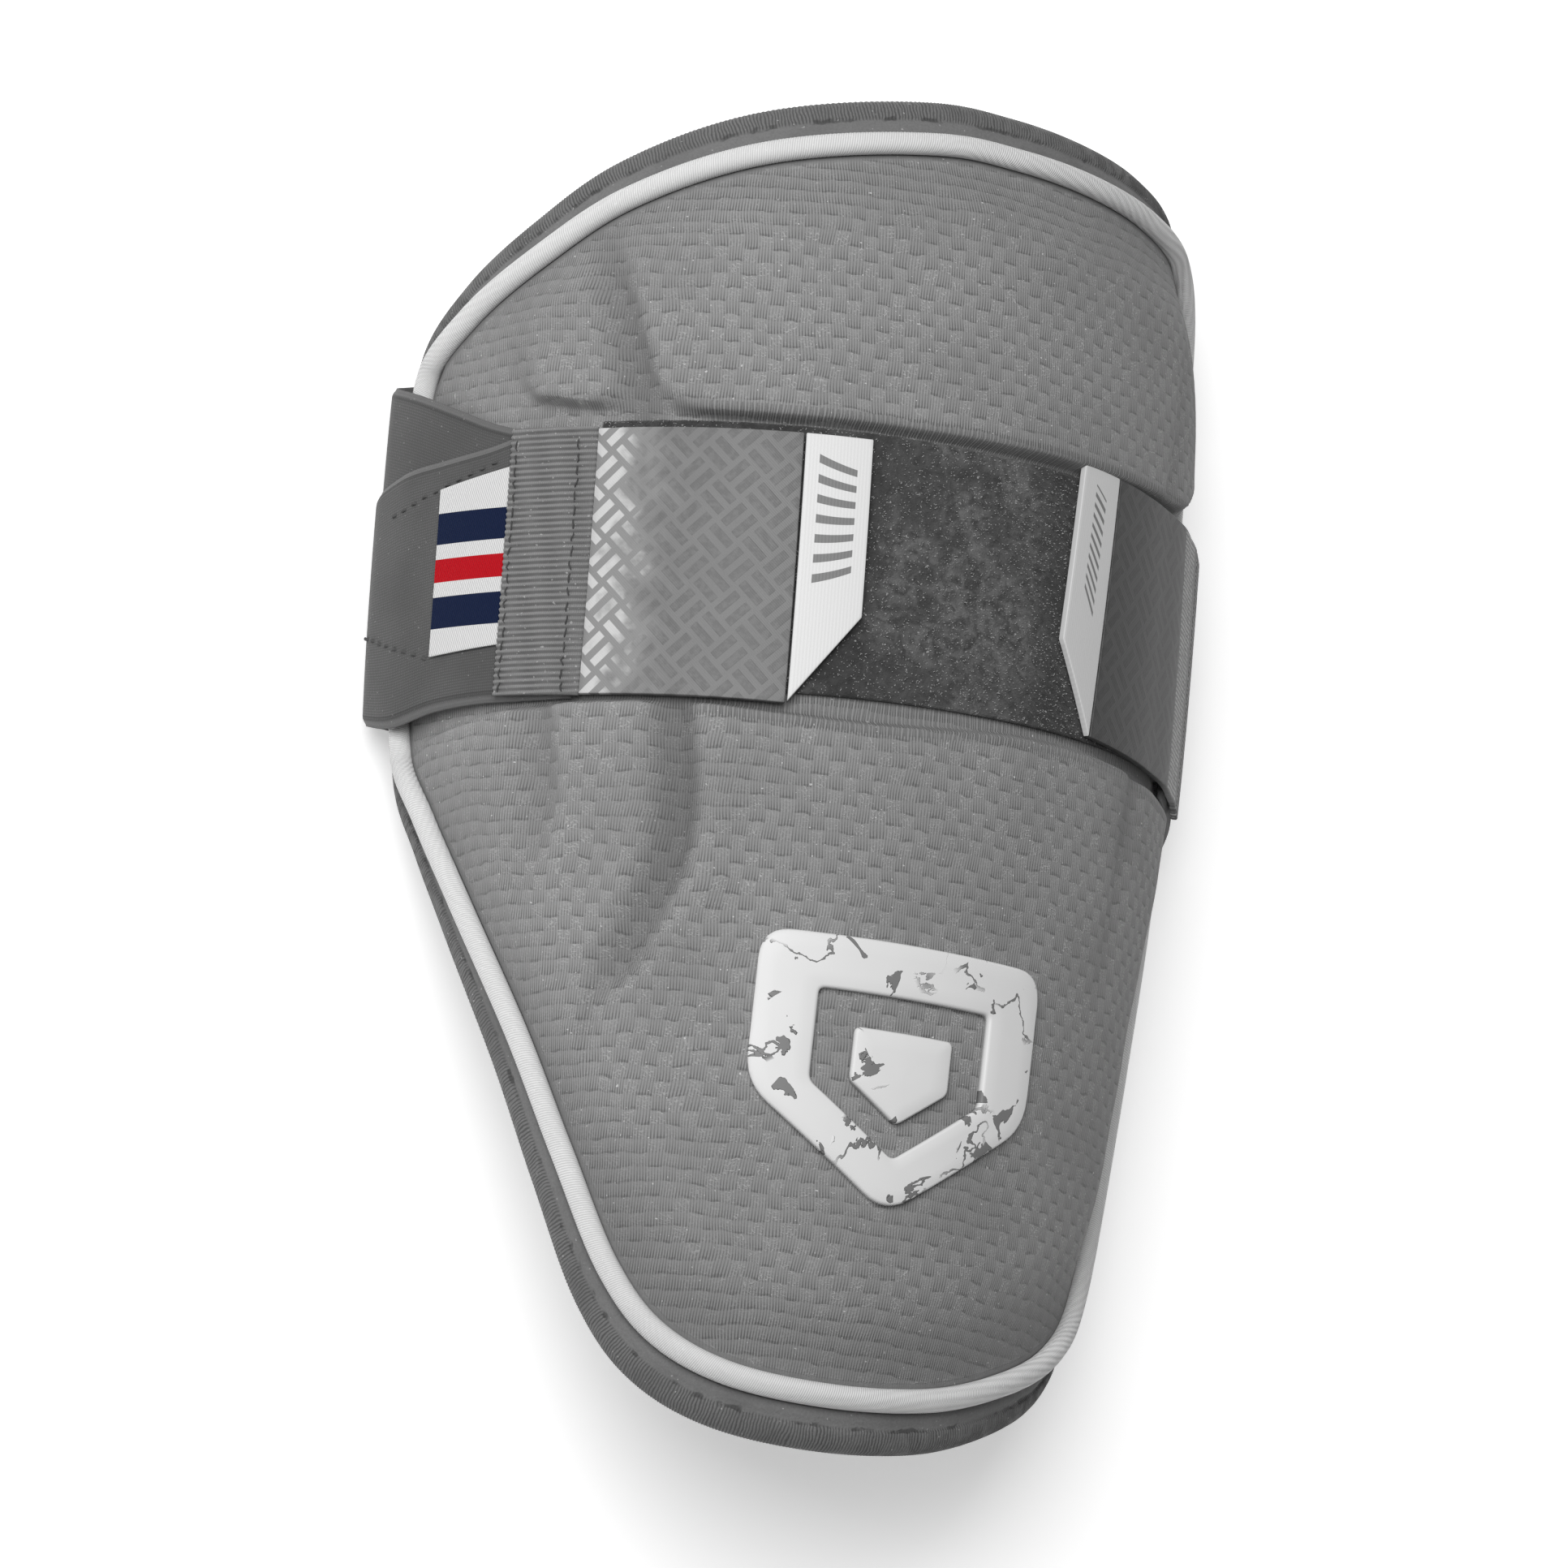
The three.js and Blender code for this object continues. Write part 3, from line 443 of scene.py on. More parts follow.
def slab_mesh(rows, columns, place):
    """Points, faces and (u, v) of a sheet with thickness; place(u, v, face) gives points."""
    v, u = np.meshgrid(np.linspace(0, 1, rows + 1), np.linspace(0, 1, columns + 1), indexing="ij")
    layer = (rows + 1) * (columns + 1)
    points = np.concatenate([place(u, v, face).reshape(-1, 3) for face in (1, -1)])
    top = grid_faces(rows, columns)
    edge = [(0, j) for j in range(columns)] + [(i, columns) for i in range(rows)]
    edge += [(rows, j) for j in range(columns, 0, -1)] + [(i, 0) for i in range(rows, 0, -1)]
    ring = np.array([i * (columns + 1) + j for i, j in edge])
    faces = np.concatenate([top, top[:, ::-1] + layer, wall_faces(ring, layer)])
    uv = np.stack([u.ravel(), v.ravel()], 1)
    return points, faces, np.concatenate([uv, uv])


def bevel(obj, width, segments=2, angle=50):
    modifier = obj.modifiers.new("edge", "BEVEL")
    modifier.width = width * MM
    modifier.segments = segments
    modifier.limit_method = "ANGLE"
    modifier.angle_limit = math.radians(angle)
    weighted = obj.modifiers.new("normals", "WEIGHTED_NORMAL")
    weighted.keep_sharp = True
    return obj


def finish_piece(obj, node=None):
    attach(obj, "root")
    if node:
        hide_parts(node)
    return obj


# Shader building
class Amount:
    """A value that changes over a cloth. Its arithmetic adds nodes."""

    def __init__(self, cloth, socket):
        self.cloth, self.socket = cloth, socket

    def __add__(self, other):
        return self.cloth.math("ADD", self, other)

    def __sub__(self, other):
        return self.cloth.math("SUBTRACT", self, other)

    def __rsub__(self, other):
        return self.cloth.math("SUBTRACT", other, self)

    def __mul__(self, other):
        return self.cloth.math("MULTIPLY", self, other)

    def __truediv__(self, other):
        return self.cloth.math("DIVIDE", self, other)


class Cloth:
    """A material and short calls that add nodes to it. Patterns read the mesh's uv in mm."""

    def __init__(self, name, roughness, sheen=0.0, specular=0.3):
        self.material = bpy.data.materials.new(name)
        self.material.use_nodes = True
        self.tree = self.material.node_tree
        self.shader = self.tree.nodes["Principled BSDF"]
        for key, value in (("Roughness", roughness), ("Specular IOR Level", specular),
                           ("Sheen Weight", sheen), ("Sheen Roughness", 0.5)):
            self.shader.inputs[key].default_value = value

    def node(self, kind, *values):
        """A new node with its first inputs filled."""
        node = self.tree.nodes.new("ShaderNode" + kind)
        for socket, value in zip(node.inputs, values):
            self.put(socket, value)
        return node

    def put(self, socket, value):
        if isinstance(value, Amount):
            self.tree.links.new(value.socket, socket)
        else:
            socket.default_value = value

    def math(self, operation, *values):
        node = self.node("Math", *values)
        node.operation = operation
        return Amount(self, node.outputs[0])

    def most(self, a, b):
        return self.math("MAXIMUM", a, b)

    def uv(self, layer="cloth"):
        node = self.node("UVMap")
        node.uv_map = layer
        split = self.node("SeparateXYZ", Amount(self, node.outputs[0]))
        return Amount(self, split.outputs[0]), Amount(self, split.outputs[1])

    def vector(self, x, y):
        return Amount(self, self.node("CombineXYZ", x, y).outputs[0])

    def noise(self, scale, vector=None, detail=2.0, distortion=0.0):
        node = self.node("TexNoise")
        for key, value in (("Vector", vector or self.place()), ("Scale", scale),
                           ("Detail", detail), ("Distortion", distortion)):
            self.put(node.inputs[key], value)
        return Amount(self, node.outputs["Fac"])

    def place(self):
        """Object position in millimetres."""
        node = self.node("TexCoord")
        scale = self.node("VectorMath", Amount(self, node.outputs["Object"]))
        scale.operation = "SCALE"
        scale.inputs["Scale"].default_value = 1 / MM
        return Amount(self, scale.outputs[0])

    def step(self, value, start, end, low=0.0, high=1.0):
        """Smooth step from low at the start to high at the end."""
        node = self.node("MapRange")
        node.interpolation_type = "SMOOTHSTEP"
        for key, number in (("Value", value), ("From Min", start), ("From Max", end),
                            ("To Min", low), ("To Max", high)):
            self.put(node.inputs[key], number)
        return Amount(self, node.outputs[0])

    def patches(self, scale, detail, start, end, low=0.0, high=1.0):
        return self.step(self.noise(scale, detail=detail), start, end, low, high)

    def near(self, value, centre, half, soft):
        """1 within half of the centre, 0 beyond the soft edge."""
        return self.step(self.math("ABSOLUTE", value - centre), half, half + soft, 1.0, 0.0)

    def wave(self, value, pitch):
        """0 to 1 ripple of that pitch."""
        turns = self.math("SINE", value * (2 * math.pi / pitch))
        return self.math("MULTIPLY_ADD", turns, 0.5, 0.5)

    def fraction(self, value, pitch):
        return self.math("FRACT", value / pitch)

    def odd(self, value):
        """1 where the whole number is odd, 0 where it is even."""
        return self.math("FLOORED_MODULO", value, 2.0)

    def mix(self, share, a, b):
        node = self.node("Mix")
        node.data_type = "RGBA"
        for socket, value in zip([node.inputs[0], node.inputs[6], node.inputs[7]], (share, a, b)):
            self.put(socket, value)
        return Amount(self, node.outputs[2])

    def over(self, tone, *layers):
        """Greys laid over a tone one after the other, each a (share, level) pair."""
        for share, level in layers:
            tone = self.mix(share, tone, grey(level))
        return tone

    def colour(self, value):
        self.put(self.shader.inputs["Base Color"], value)

    def done(self, *relief):
        """The material, with its relief: pairs of a height, 0 to 1, and its millimetres."""
        if relief:
            heights = [height * millimetres for height, millimetres in relief]
            bump = self.node("Bump")
            bump.inputs["Strength"].default_value = 1.0
            bump.inputs["Distance"].default_value = MM
            self.put(bump.inputs["Height"], sum(heights[1:], heights[0]))
            self.tree.links.new(bump.outputs[0], self.shader.inputs["Normal"])
        return self.material


def grey(level):
    return (level, level, level, 1.0)


# Materials
TILE_PITCH = 5.0
TILE_ROW = 2.33
LIP_RIB = 0.8                   # ribs along the channel's edges
RIB_PITCH = 0.49
BAR_PITCH = 5.2
NAVY = (0.003, 0.009, 0.036, 1), (0.006, 0.014, 0.05, 1)
RED = (0.4, 0.002, 0.008, 1), (0.5, 0.004, 0.012, 1)


def shell_cloth():
    """Ribbed cloth: darker tiles in staggered rows, with pale specks between them."""
    cloth = Cloth("shell_cloth", 0.85, sheen=0.06)
    u, v = cloth.uv()
    # The zone layer's second column is painted shade: darker in creases, towards the lower end and
    # beside the piping.
    zone, painted_shade = cloth.uv("zone")
    ribbed = cloth.most(zone, 0.0)
    plain = cloth.most(zone * -1.0, 0.0)
    slack = cloth.noise(0.09, detail=1.0) * 2.0
    u, v = u + slack, v + slack + cloth.noise(0.45)
    odd = cloth.odd(cloth.math("FLOOR", v / TILE_ROW))
    across = cloth.fraction(u + odd * (TILE_PITCH / 2), TILE_PITCH)
    up = cloth.fraction(v, TILE_ROW)
    patchy = cloth.patches(0.05, 2.0, 0.52, 0.7, 0.0, 0.6)
    tile = cloth.most(cloth.near(across, 0.5, 0.2, 0.14), cloth.most(ribbed, patchy))
    gap = cloth.step(cloth.wave(u, RIB_PITCH), 0.0, 0.6, 1.0, 0.0)
    gap = gap * cloth.step(up, 0.1, 0.95, 1.0, 0.5) * cloth.step(tile, 0.0, 1.0, 0.7, 1.0)
    lip = cloth.step(ribbed, 0.85, 0.98)
    gap = cloth.most(gap, lip * cloth.step(cloth.wave(u, LIP_RIB), 0.0, 0.7, 0.6, 0.0))
    # Along the lower edge of each row of tiles: a slight dip in the relief, and painted shade along
    # it.
    dash = cloth.near(up, 0.06, 0.04, 0.1) * cloth.patches(0.7, 3.0, 0.38, 0.6) * (tile - lip)
    yarn = cloth.noise(2.1, cloth.vector(u + v * 0.5, v * 1.5))
    knots = cloth.step(yarn, 0.48, 0.62) * cloth.step(tile, 0.0, 1.0, 1.0, 0.12)
    knots = knots * cloth.patches(0.22, 2.0, 0.4, 0.6, 0.35)
    cloth.colour(cloth.over(
        grey(0.305), (tile, 0.285), (gap * cloth.step(ribbed, 0.0, 1.0, 0.8, 1.0), 0.1),
        (knots * 0.75, 0.45), (dash * 0.42, 0.09),
        (cloth.patches(0.05, 3.0, 0.35, 0.65, 0.0, 0.16), 0.14), (plain * 0.8, 0.215),
        (cloth.patches(2.0, 0.0, 0.83, 0.86) * 0.7, 0.7), (painted_shade, 0.08)))
    woven = 1.0 - plain
    return cloth.done(((1.0 - gap) * woven, 0.06), ((1.0 - dash) * woven, 0.04),
                      (knots * woven, 0.07), (cloth.noise(2.6, detail=4.0), 0.06))


def binding_cloth():
    """Tape with cross ribs outside its seam and smooth cloth inside."""
    cloth = Cloth("binding_tape", 0.88, sheen=0.1)
    u, v = cloth.uv()
    bent = u + cloth.noise(0.3) * 1.2
    ribs = cloth.step(cloth.wave(bent, BINDING_RIB), 0.0, 0.7, 1.0, 0.0) * cloth.step(v, 3.3, 4.1)
    wobble = (cloth.noise(0.5) - 0.5) * 1.6
    pocket = cloth.near(v + wobble, 3.8, 0.2, 0.4) * cloth.patches(0.32, 3.0, 0.5, 0.64)
    speck = cloth.noise(2.6, detail=3.0)
    cloth.colour(cloth.over(
        grey(0.13), (speck * 0.8, 0.23), (ribs * 0.85, 0.075),
        (cloth.patches(0.08, 3.0, 0.42, 0.65, 0.0, 0.3), 0.09), (pocket * 0.7, 0.045),
        (cloth.patches(2.0, 0.0, 0.82, 0.85) * 0.6, 0.5)))
    return cloth.done((1.0 - ribs, 0.06), (1.0 - pocket, 0.15), (speck, 0.12))


def piping_cloth():
    cloth = Cloth("piping_cord", 0.6, sheen=0.05)
    u, v = cloth.uv()
    ribs = cloth.wave(u + v * 0.3, PIPING_RIB)
    cloth.colour(cloth.over(
        grey(0.6), (ribs, 0.85), (cloth.noise(0.35, detail=3.0) * 0.3, 0.5),
        (cloth.patches(2.6, 1.0, 0.66, 0.74) * 0.5, 0.9)))
    return cloth.done((ribs, 0.05))


def loop_cloth():
    """Brushed loops: dark clumps with a matted, lighter nap, and painted shadow beside the tips."""
    cloth = Cloth("loop_cloth", 0.95, sheen=0.15)
    u = cloth.uv()[0]
    clumps = cloth.noise(0.5, detail=5.0, distortion=0.8)
    fuzz = cloth.noise(3.2, detail=3.0)
    # Painted shadow on the loops beside each white tip.
    left_tip_shadow = cloth.step(u, 46.0, 50.5, 0.6, 0.0)
    right_tip_shadow = cloth.step(u, 75.0, 84.0, 0.0, 0.75)
    cloth.colour(cloth.over(
        grey(0.05), (cloth.step(clumps, 0.3, 0.7), 0.14),
        (cloth.step(fuzz, 0.55, 0.75, 0.0, 0.7), 0.19),
        (cloth.patches(0.08, 2.0, 0.42, 0.6, 0.0, 0.65), 0.045),
        (cloth.most(left_tip_shadow, right_tip_shadow), 0.03),
        (cloth.patches(1.9, 1.0, 0.7, 0.75) * 0.6, 0.5)))
    return cloth.done((clumps, 0.5), (fuzz, 0.3))


def elastic_cloth():
    """Close knit in fine upright lines, with a painted highlight along the rolled edge and painted
    shade in the groove beside it.
    """
    cloth = Cloth("elastic", 0.88, sheen=0.1)
    u, v = cloth.uv()
    edge = cloth.uv("zone")[0]
    course = cloth.wave(v, 0.5)
    knit = course * cloth.wave(u + course * 0.15, 0.42)
    speck = cloth.noise(2.2, detail=3.0)
    # Painted highlight along the rolled edge.
    rolled = cloth.near(edge, 0.5, 0.4, 0.35)
    # A groove in the relief beside the rolled edge, with painted shade in it.
    groove = cloth.near(edge, 1.6, 0.1, 0.4)
    cloth.colour(cloth.over(
        grey(0.07), (knit, 0.14), (speck * 0.5, 0.11),
        (cloth.patches(0.07, 3.0, 0.35, 0.7, 0.0, 0.4), 0.055), (groove * 0.4, 0.04),
        (rolled * 0.6, 0.17), (cloth.patches(2.2, 0.0, 0.82, 0.85) * 0.5, 0.4)))
    return cloth.done((knit, 0.06), (speck, 0.08), (1.0 - groove, 0.15))


def hem_stitches(cloth, u, v, rough):
    """Dense pale stitches, dropped here and there."""
    dots = cloth.wave(u + v * 0.4, 0.9) * cloth.wave(v, 0.8)
    return cloth.step(dots, 0.12, 0.45) * cloth.step(rough, 0.3, 0.5)


def hem_cloth():
    """Edge of the right tab: dense pale stitches over the elastic."""
    cloth = Cloth("hem_stitching", 0.85, sheen=0.1)
    u, v = cloth.uv()
    rough = cloth.noise(1.2, detail=3.0)
    stitched = hem_stitches(cloth, u, v, rough)
    cloth.colour(cloth.over(grey(0.07), (rough, 0.13), (stitched, 0.42)))
    return cloth.done((stitched, 0.15))


def ribbon_cloth():
    cloth = Cloth("ribbon", 0.75, sheen=0.1)
    u, v = cloth.uv()
    threads = cloth.wave(u, 0.4)
    speck = cloth.noise(1.8, detail=3.0)
    groove = cloth.step(cloth.wave(v, RIBBON_RIB), 0.1, 0.8, 0.85, 0.0)
    cloth.colour(cloth.over(
        grey(0.21), (threads, 0.27), (speck * 0.45, 0.17), (groove, 0.115),
        (cloth.patches(0.25, 3.0, 0.5, 0.7, 0.0, 0.5), 0.17),
        (cloth.patches(1.8, 0.0, 0.77, 0.81) * 0.5, 0.55)))
    return cloth.done((threads, 0.05), (speck, 0.08))


def bars(cloth, u, v, pitch):
    """Short slanted bars that turn by a right angle from cell to cell."""
    turned = [(u + v) * math.sqrt(0.5), (v - u) * math.sqrt(0.5)]
    cells = [cloth.math("FLOOR", way / pitch) for way in turned]
    odd = cloth.odd(cells[0] + cells[1])
    lines = [cloth.near(cloth.fraction(way, pitch / 2), 0.5, 0.24, 0.05) for way in turned]
    spans = [cloth.near(cloth.fraction(way, pitch), 0.5, 0.41, 0.03) for way in turned]
    return lines[0] * spans[1] * (1.0 - odd) + lines[1] * spans[0] * odd


def printed_tab(name, ground, print_tone, silver=None, hem=None):
    """Printed tape: "silver" is the tone its bars fade from, "hem" where a stitched strip lies."""
    cloth = Cloth(name, 0.5, specular=0.35)
    u, v = cloth.uv()
    relief = []
    lattice = bars(cloth, u, v, BAR_PITCH)
    grain = cloth.noise(3.0, detail=3.0)
    worn = cloth.patches(1.1, 4.0, 0.35, 0.6, 0.45, 1.0)
    tone = cloth.over(grey(ground), (grain * 0.4, ground * 0.8),
                      (cloth.patches(0.09, 3.0, 0.35, 0.65, 0.0, 0.3), ground * 0.75),
                      (lattice * worn, print_tone))
    if silver:
        edge = u + (cloth.noise(0.22, detail=4.0) - 0.5) * 16.0
        tone = cloth.over(tone, (cloth.step(edge, 3.5, 10.0, 1.0, 0.0) * lattice, silver),
                          (cloth.step(edge, 6.0, 17.0, 0.25, 0.0), silver * 0.8))
    if hem:
        rough = cloth.noise(1.2, detail=3.0)
        beyond = cloth.step(u, hem[0] - 0.6, hem[0])
        strip = cloth.near(u, (hem[0] + hem[1]) / 2, (hem[1] - hem[0]) / 2, 0.5)
        stitched = strip * hem_stitches(cloth, u, v, rough)
        tone = cloth.mix(beyond, tone, cloth.mix(rough, grey(0.05), grey(0.09)))
        tone = cloth.over(tone, (strip, 0.115), (stitched, 0.5))
        relief.append((stitched, 0.15))
    cloth.colour(tone)
    return cloth.done(*relief, (lattice, 0.03), (cloth.wave(u + v, 0.5), 0.015), (grain, 0.02))


def tip_cloth(name, marks_from, marks_to, marks_width, pitch, tone):
    """Pale tape with one column of slanted marks."""
    cloth = Cloth(name, 0.45)
    u, v = cloth.uv()
    grain = cloth.noise(4.0)
    threads = cloth.wave(u, 0.5)
    slanted = v + u * 0.55
    mark = cloth.near(cloth.fraction(slanted, pitch), 0.5, 0.2, 0.03)
    inside = cloth.near(u, 5.0, marks_width / 2, 0.12)
    half = (marks_to - marks_from) / 2
    stretch = cloth.near(slanted, (marks_from + marks_to) / 2, half, 0.05)
    cloth.colour(cloth.over(
        grey(tone), (grain * 0.3, tone * 0.88), (threads * 0.2, tone * 0.85),
        (mark * (inside * stretch), 0.2)))
    return cloth.done((grain, 0.02), (threads, 0.012))


def label_cloth():
    """Satin label with three plain bands."""
    cloth = Cloth("label_cloth", 0.7, specular=0.1)
    u, v = cloth.uv()
    twill = cloth.wave(u + v * 0.45, 0.42)
    upper, middle, lower = (cloth.near(v, centre, half, 0.1)
                            for centre, half in ((21.4, 2.6), (14.3, 1.9), (7.2, 2.6)))
    tone = cloth.mix(twill, grey(0.55), grey(0.76))
    tone = cloth.mix(upper + lower, tone, cloth.mix(twill, *NAVY))
    cloth.colour(cloth.mix(middle, tone, cloth.mix(twill, *RED)))
    return cloth.done((twill, 0.07))


def emblem_rubber():
    """Raised white print with ragged chips and a few cracks where the ground shows."""
    cloth = Cloth("emblem", 0.42)
    place = cloth.vector(*cloth.uv())
    ragged = cloth.noise(0.06, place, detail=6.0, distortion=0.3)
    crack = cloth.near(ragged, 0.5, 0.005, 0.002)
    where = cloth.step(cloth.noise(0.05, place, detail=1.0), 0.53, 0.57)
    torn = cloth.step(cloth.noise(0.13, place, detail=4.0, distortion=0.9), 0.6, 0.606)
    chips = torn * cloth.near(ragged, 0.5, 0.055, 0.008)
    worn = cloth.most(crack * where, chips)
    cloth.colour(cloth.over(grey(0.78), (cloth.noise(0.12, place) * 0.4, 0.68), (worn, 0.2)))
    return cloth.done((1.0 - worn, 0.5))


def thread_cloth(name, dark, light, roughness=0.7, scale=2.0):
    cloth = Cloth(name, roughness)
    cloth.colour(cloth.over(grey(dark), (cloth.noise(scale), light)))
    return cloth.done()


# Padded shell
ROWS_LOW, ROWS_HIGH = -0.73, 0.68
ROWS_BETWEEN = [76, 4, 44, 4, 22]
COLUMNS = 130
FLANGE_RINGS = 6               # rings of points outside the shoulder, and over it
SHOULDER_RINGS = 20
CALM_ROWS = [-0.06, 0.56]      # between these shares of the half length the rows stay as they are
ROW_BEND = 1.5
EDGE_SAMPLES = 400


def spread(knots, parts):
    pieces = [knots[0][None]]
    for start, end, count in zip(knots, knots[1:], parts):
        share = (np.arange(1, count + 1) / count)[:, None]
        pieces.append(start * (1 - share) + end * share)
    return np.concatenate(pieces)


def rows_at(arcs):
    """Every straight row's y at these arcs: rows follow the channel's edges."""
    low, high = channel_edges(arcs)
    same = np.ones_like(arcs)
    knots = [HALF_LENGTH * ROWS_LOW * same, low, low + CHANNEL_WALL, high - CHANNEL_WALL, high,
             HALF_LENGTH * ROWS_HIGH * same]
    return spread(knots, ROWS_BETWEEN)


def shell_lattice():
    """(arc, y, inset) of the shell's outer points, its faces and how many go round the edge."""
    row_count = sum(ROWS_BETWEEN) + 1
    ends = np.zeros((row_count, 2))
    for k, side in enumerate((-1, 1)):
        for row in range(row_count):
            place = crossing(1, 0.0, side)
            for _ in range(4):
                arc = inset_points(place, DOME_INSET)[0]
                place = crossing(1, rows_at(np.array([arc]))[row, 0], side)
            ends[row, k] = place
    left, right = inset_points(ends[:, 0], DOME_INSET), inset_points(ends[:, 1], DOME_INSET)
    share = np.linspace(0, 1, COLUMNS + 1)
    arcs = left[:, :1] * (1 - share) + right[:, :1] * share
    y = np.stack([rows_at(arcs[row])[row] for row in range(row_count)])
    low, calm_low, calm_high, high = (HALF_LENGTH * share
                                      for share in (ROWS_LOW, *CALM_ROWS, ROWS_HIGH))
    samples = np.linspace(arcs.min() + 0.01, arcs.max() - 0.01, EDGE_SAMPLES)
    top, bottom = (np.array([inset_points(crossing(0, a, side), DOME_INSET)[1] for a in samples])
                   for side in (1, -1))
    above = np.clip((y - calm_high) / (high - calm_high), 0, 1) ** ROW_BEND
    below = np.clip((calm_low - y) / (calm_low - low), 0, 1) ** ROW_BEND
    y = (y + above * (np.interp(arcs, samples, top) - high)
         + below * (np.interp(arcs, samples, bottom) - low))
    last, across = row_count - 1, COLUMNS
    edge = [(i, 0, ends[i, 0]) for i in range(last + 1)]
    edge += [(last, j, crossing(0, arcs[last, j], 1)) for j in range(1, across)]
    edge += [(i, across, ends[i, 1]) for i in range(last, -1, -1)]
    edge += [(0, j, crossing(0, arcs[0, j], -1)) for j in range(across - 1, 0, -1)]
    places = np.array([e[2] for e in edge])
    around = len(edge)
    first = BINDING_CLOTH + CLEARANCE
    insets = np.concatenate([np.linspace(first, SHOULDER_START - 1.2, FLANGE_RINGS),
                             np.linspace(SHOULDER_START - 0.9, DOME_INSET, SHOULDER_RINGS)])
    rings = np.concatenate([np.column_stack([inset_points(places, np.full(around, d)),
                                             np.full(around, d)]) for d in insets])
    cells = np.full(arcs.shape, -1)
    for k, (i, j, _) in enumerate(edge):
        cells[i, j] = (len(insets) - 1) * around + k
    inner = [(i, j) for i in range(1, last) for j in range(1, across)]
    for k, (i, j) in enumerate(inner):
        cells[i, j] = len(rings) + k
    rows, columns = np.array(inner).T
    field_arcs, field_y = arcs[rows, columns], y[rows, columns]
    inset = np.maximum(rim_distance(field_arcs, field_y), DOME_INSET)
    field = np.column_stack([field_arcs, field_y, inset])
    field_faces = quads(cells[:-1, :-1], cells[1:, :-1], cells[1:, 1:], cells[:-1, 1:])
    faces = np.concatenate([tube_faces(len(insets), around), field_faces])
    return np.concatenate([rings, field]), faces, around


LIP_WIDTH = 1.8
LEFT_RIBS = 0.72               # the tiles close up to ribs to the left of this arc share
CREASE_SHADE = 4.0             # depth of a crease at which its painted shade is darkest


def cloth_zones(arc, y, inset):
    """Zone from 1, all ribs, to -1, no weave; and painted shade, darker the deeper a point lies in
    a crease, towards the lower end and beside the piping.
    """
    left, from_piping = -arc / RADIUS, inset - SHOULDER_START
    wall = np.maximum.reduce([channel_share(arc, y + d) for d in (-LIP_WIDTH, 0.0, LIP_WIDTH)])
    lip = ramp(wall - ease(channel_share(arc, y) - 0.6), 0.1, 0.3)
    lip = lip * np.clip(1 - 2.2 * wall_fade(arc), 0, 1) * (1 - ramp(left, LEFT_RIBS, 0.06))
    by_edge = 0.65 * (1 - ramp(from_piping, 7, 9))
    left_side = 0.6 * ramp(left, LEFT_RIBS, 0.3)
    ribbed = np.clip(np.maximum.reduce([lip, by_edge, left_side]), 0, 1)
    plain = 1 - ramp(from_piping, 0.5, 0.9)
    # Painted shade: in creases, at the lower end near the piping, and in a band right beside the
    # piping.
    painted_crease_shade = 0.5 * np.clip(-crease_height(arc, y) / CREASE_SHADE, 0, 1)
    painted_lower_shade = 0.25 * ramp(-y / HALF_LENGTH, 0.5, 0.35) * (1 - ease(from_piping / 15))
    painted_shade = np.maximum.reduce([painted_crease_shade, painted_lower_shade, 0.3 * (1 - ease(from_piping))])
    return ribbed * (1 - plain) - plain, painted_shade * (inset > PIPING_INSET)


def padded_shell():
    points, faces, around = shell_lattice()
    arc, y, inset = points.T
    outer = on_trough(arc, y, outer_height(arc, y, inset))
    inner = on_trough(arc, y, np.full(len(arc), -PAD_THICKNESS))
    layer = len(outer)
    walls = wall_faces(np.arange(around), layer)
    faces = np.concatenate([faces, faces[:, ::-1] + layer, walls])[:, ::-1]
    uv = np.column_stack([arc, y, *cloth_zones(arc, y, inset)])
    shell = make_object("shell_pad", np.concatenate([outer, inner]), faces,
                        np.concatenate([uv, uv]), shell_cloth())
    finish_piece(shell, "padded_shell")


# Rim trim
RIM_WAY = way_along(closed(RIM))


def along_rim(places):
    return np.interp(places, np.arange(RIM_SAMPLES + 1), RIM_WAY)


def rim_loop(name, ribs, section, material):
    """A loop round the rim of (inset, height, rib height) corners, outwards from middle.

    Its uv is the way along the rim and across the section, in millimetres.
    """
    stations = 2 * ribs
    section = np.array(section)
    middle = section[:, :2].mean(0)
    out = section[:, :2] - middle
    out /= np.linalg.norm(out, axis=1)[:, None]
    count = len(section)
    across = way_along(closed(section))

    def place(i, j):
        k = j % count
        rib = section[k, 2] * (i % 2)
        points = inset_points(i * RIM_SAMPLES / stations, section[k, 0] - rib * out[k, 0])
        return on_trough(points[..., 0], points[..., 1], section[k, 1] - rib * out[k, 1])

    i, j = counted(stations + 1, count + 1)
    points = place(i % stations, j)
    faces = grid_faces(stations, count)
    uv = np.stack([along_rim(i * RIM_SAMPLES / stations), across[j]], -1).reshape(-1, 2)
    return make_object(name, points.reshape(-1, 3), faces[:, ::-1], uv, material)


WELD_DISTANCE = 0.01


def weld(obj):
    modifier = obj.modifiers.new("weld", "WELD")
    modifier.merge_threshold = WELD_DISTANCE * MM


BINDING_RIB = 0.6
PIPING_RIB = 0.42
RIBBON_RIB = 1.0
RIBBON_RAISED = 0.3            # so its ribs clear the tab that it overlaps


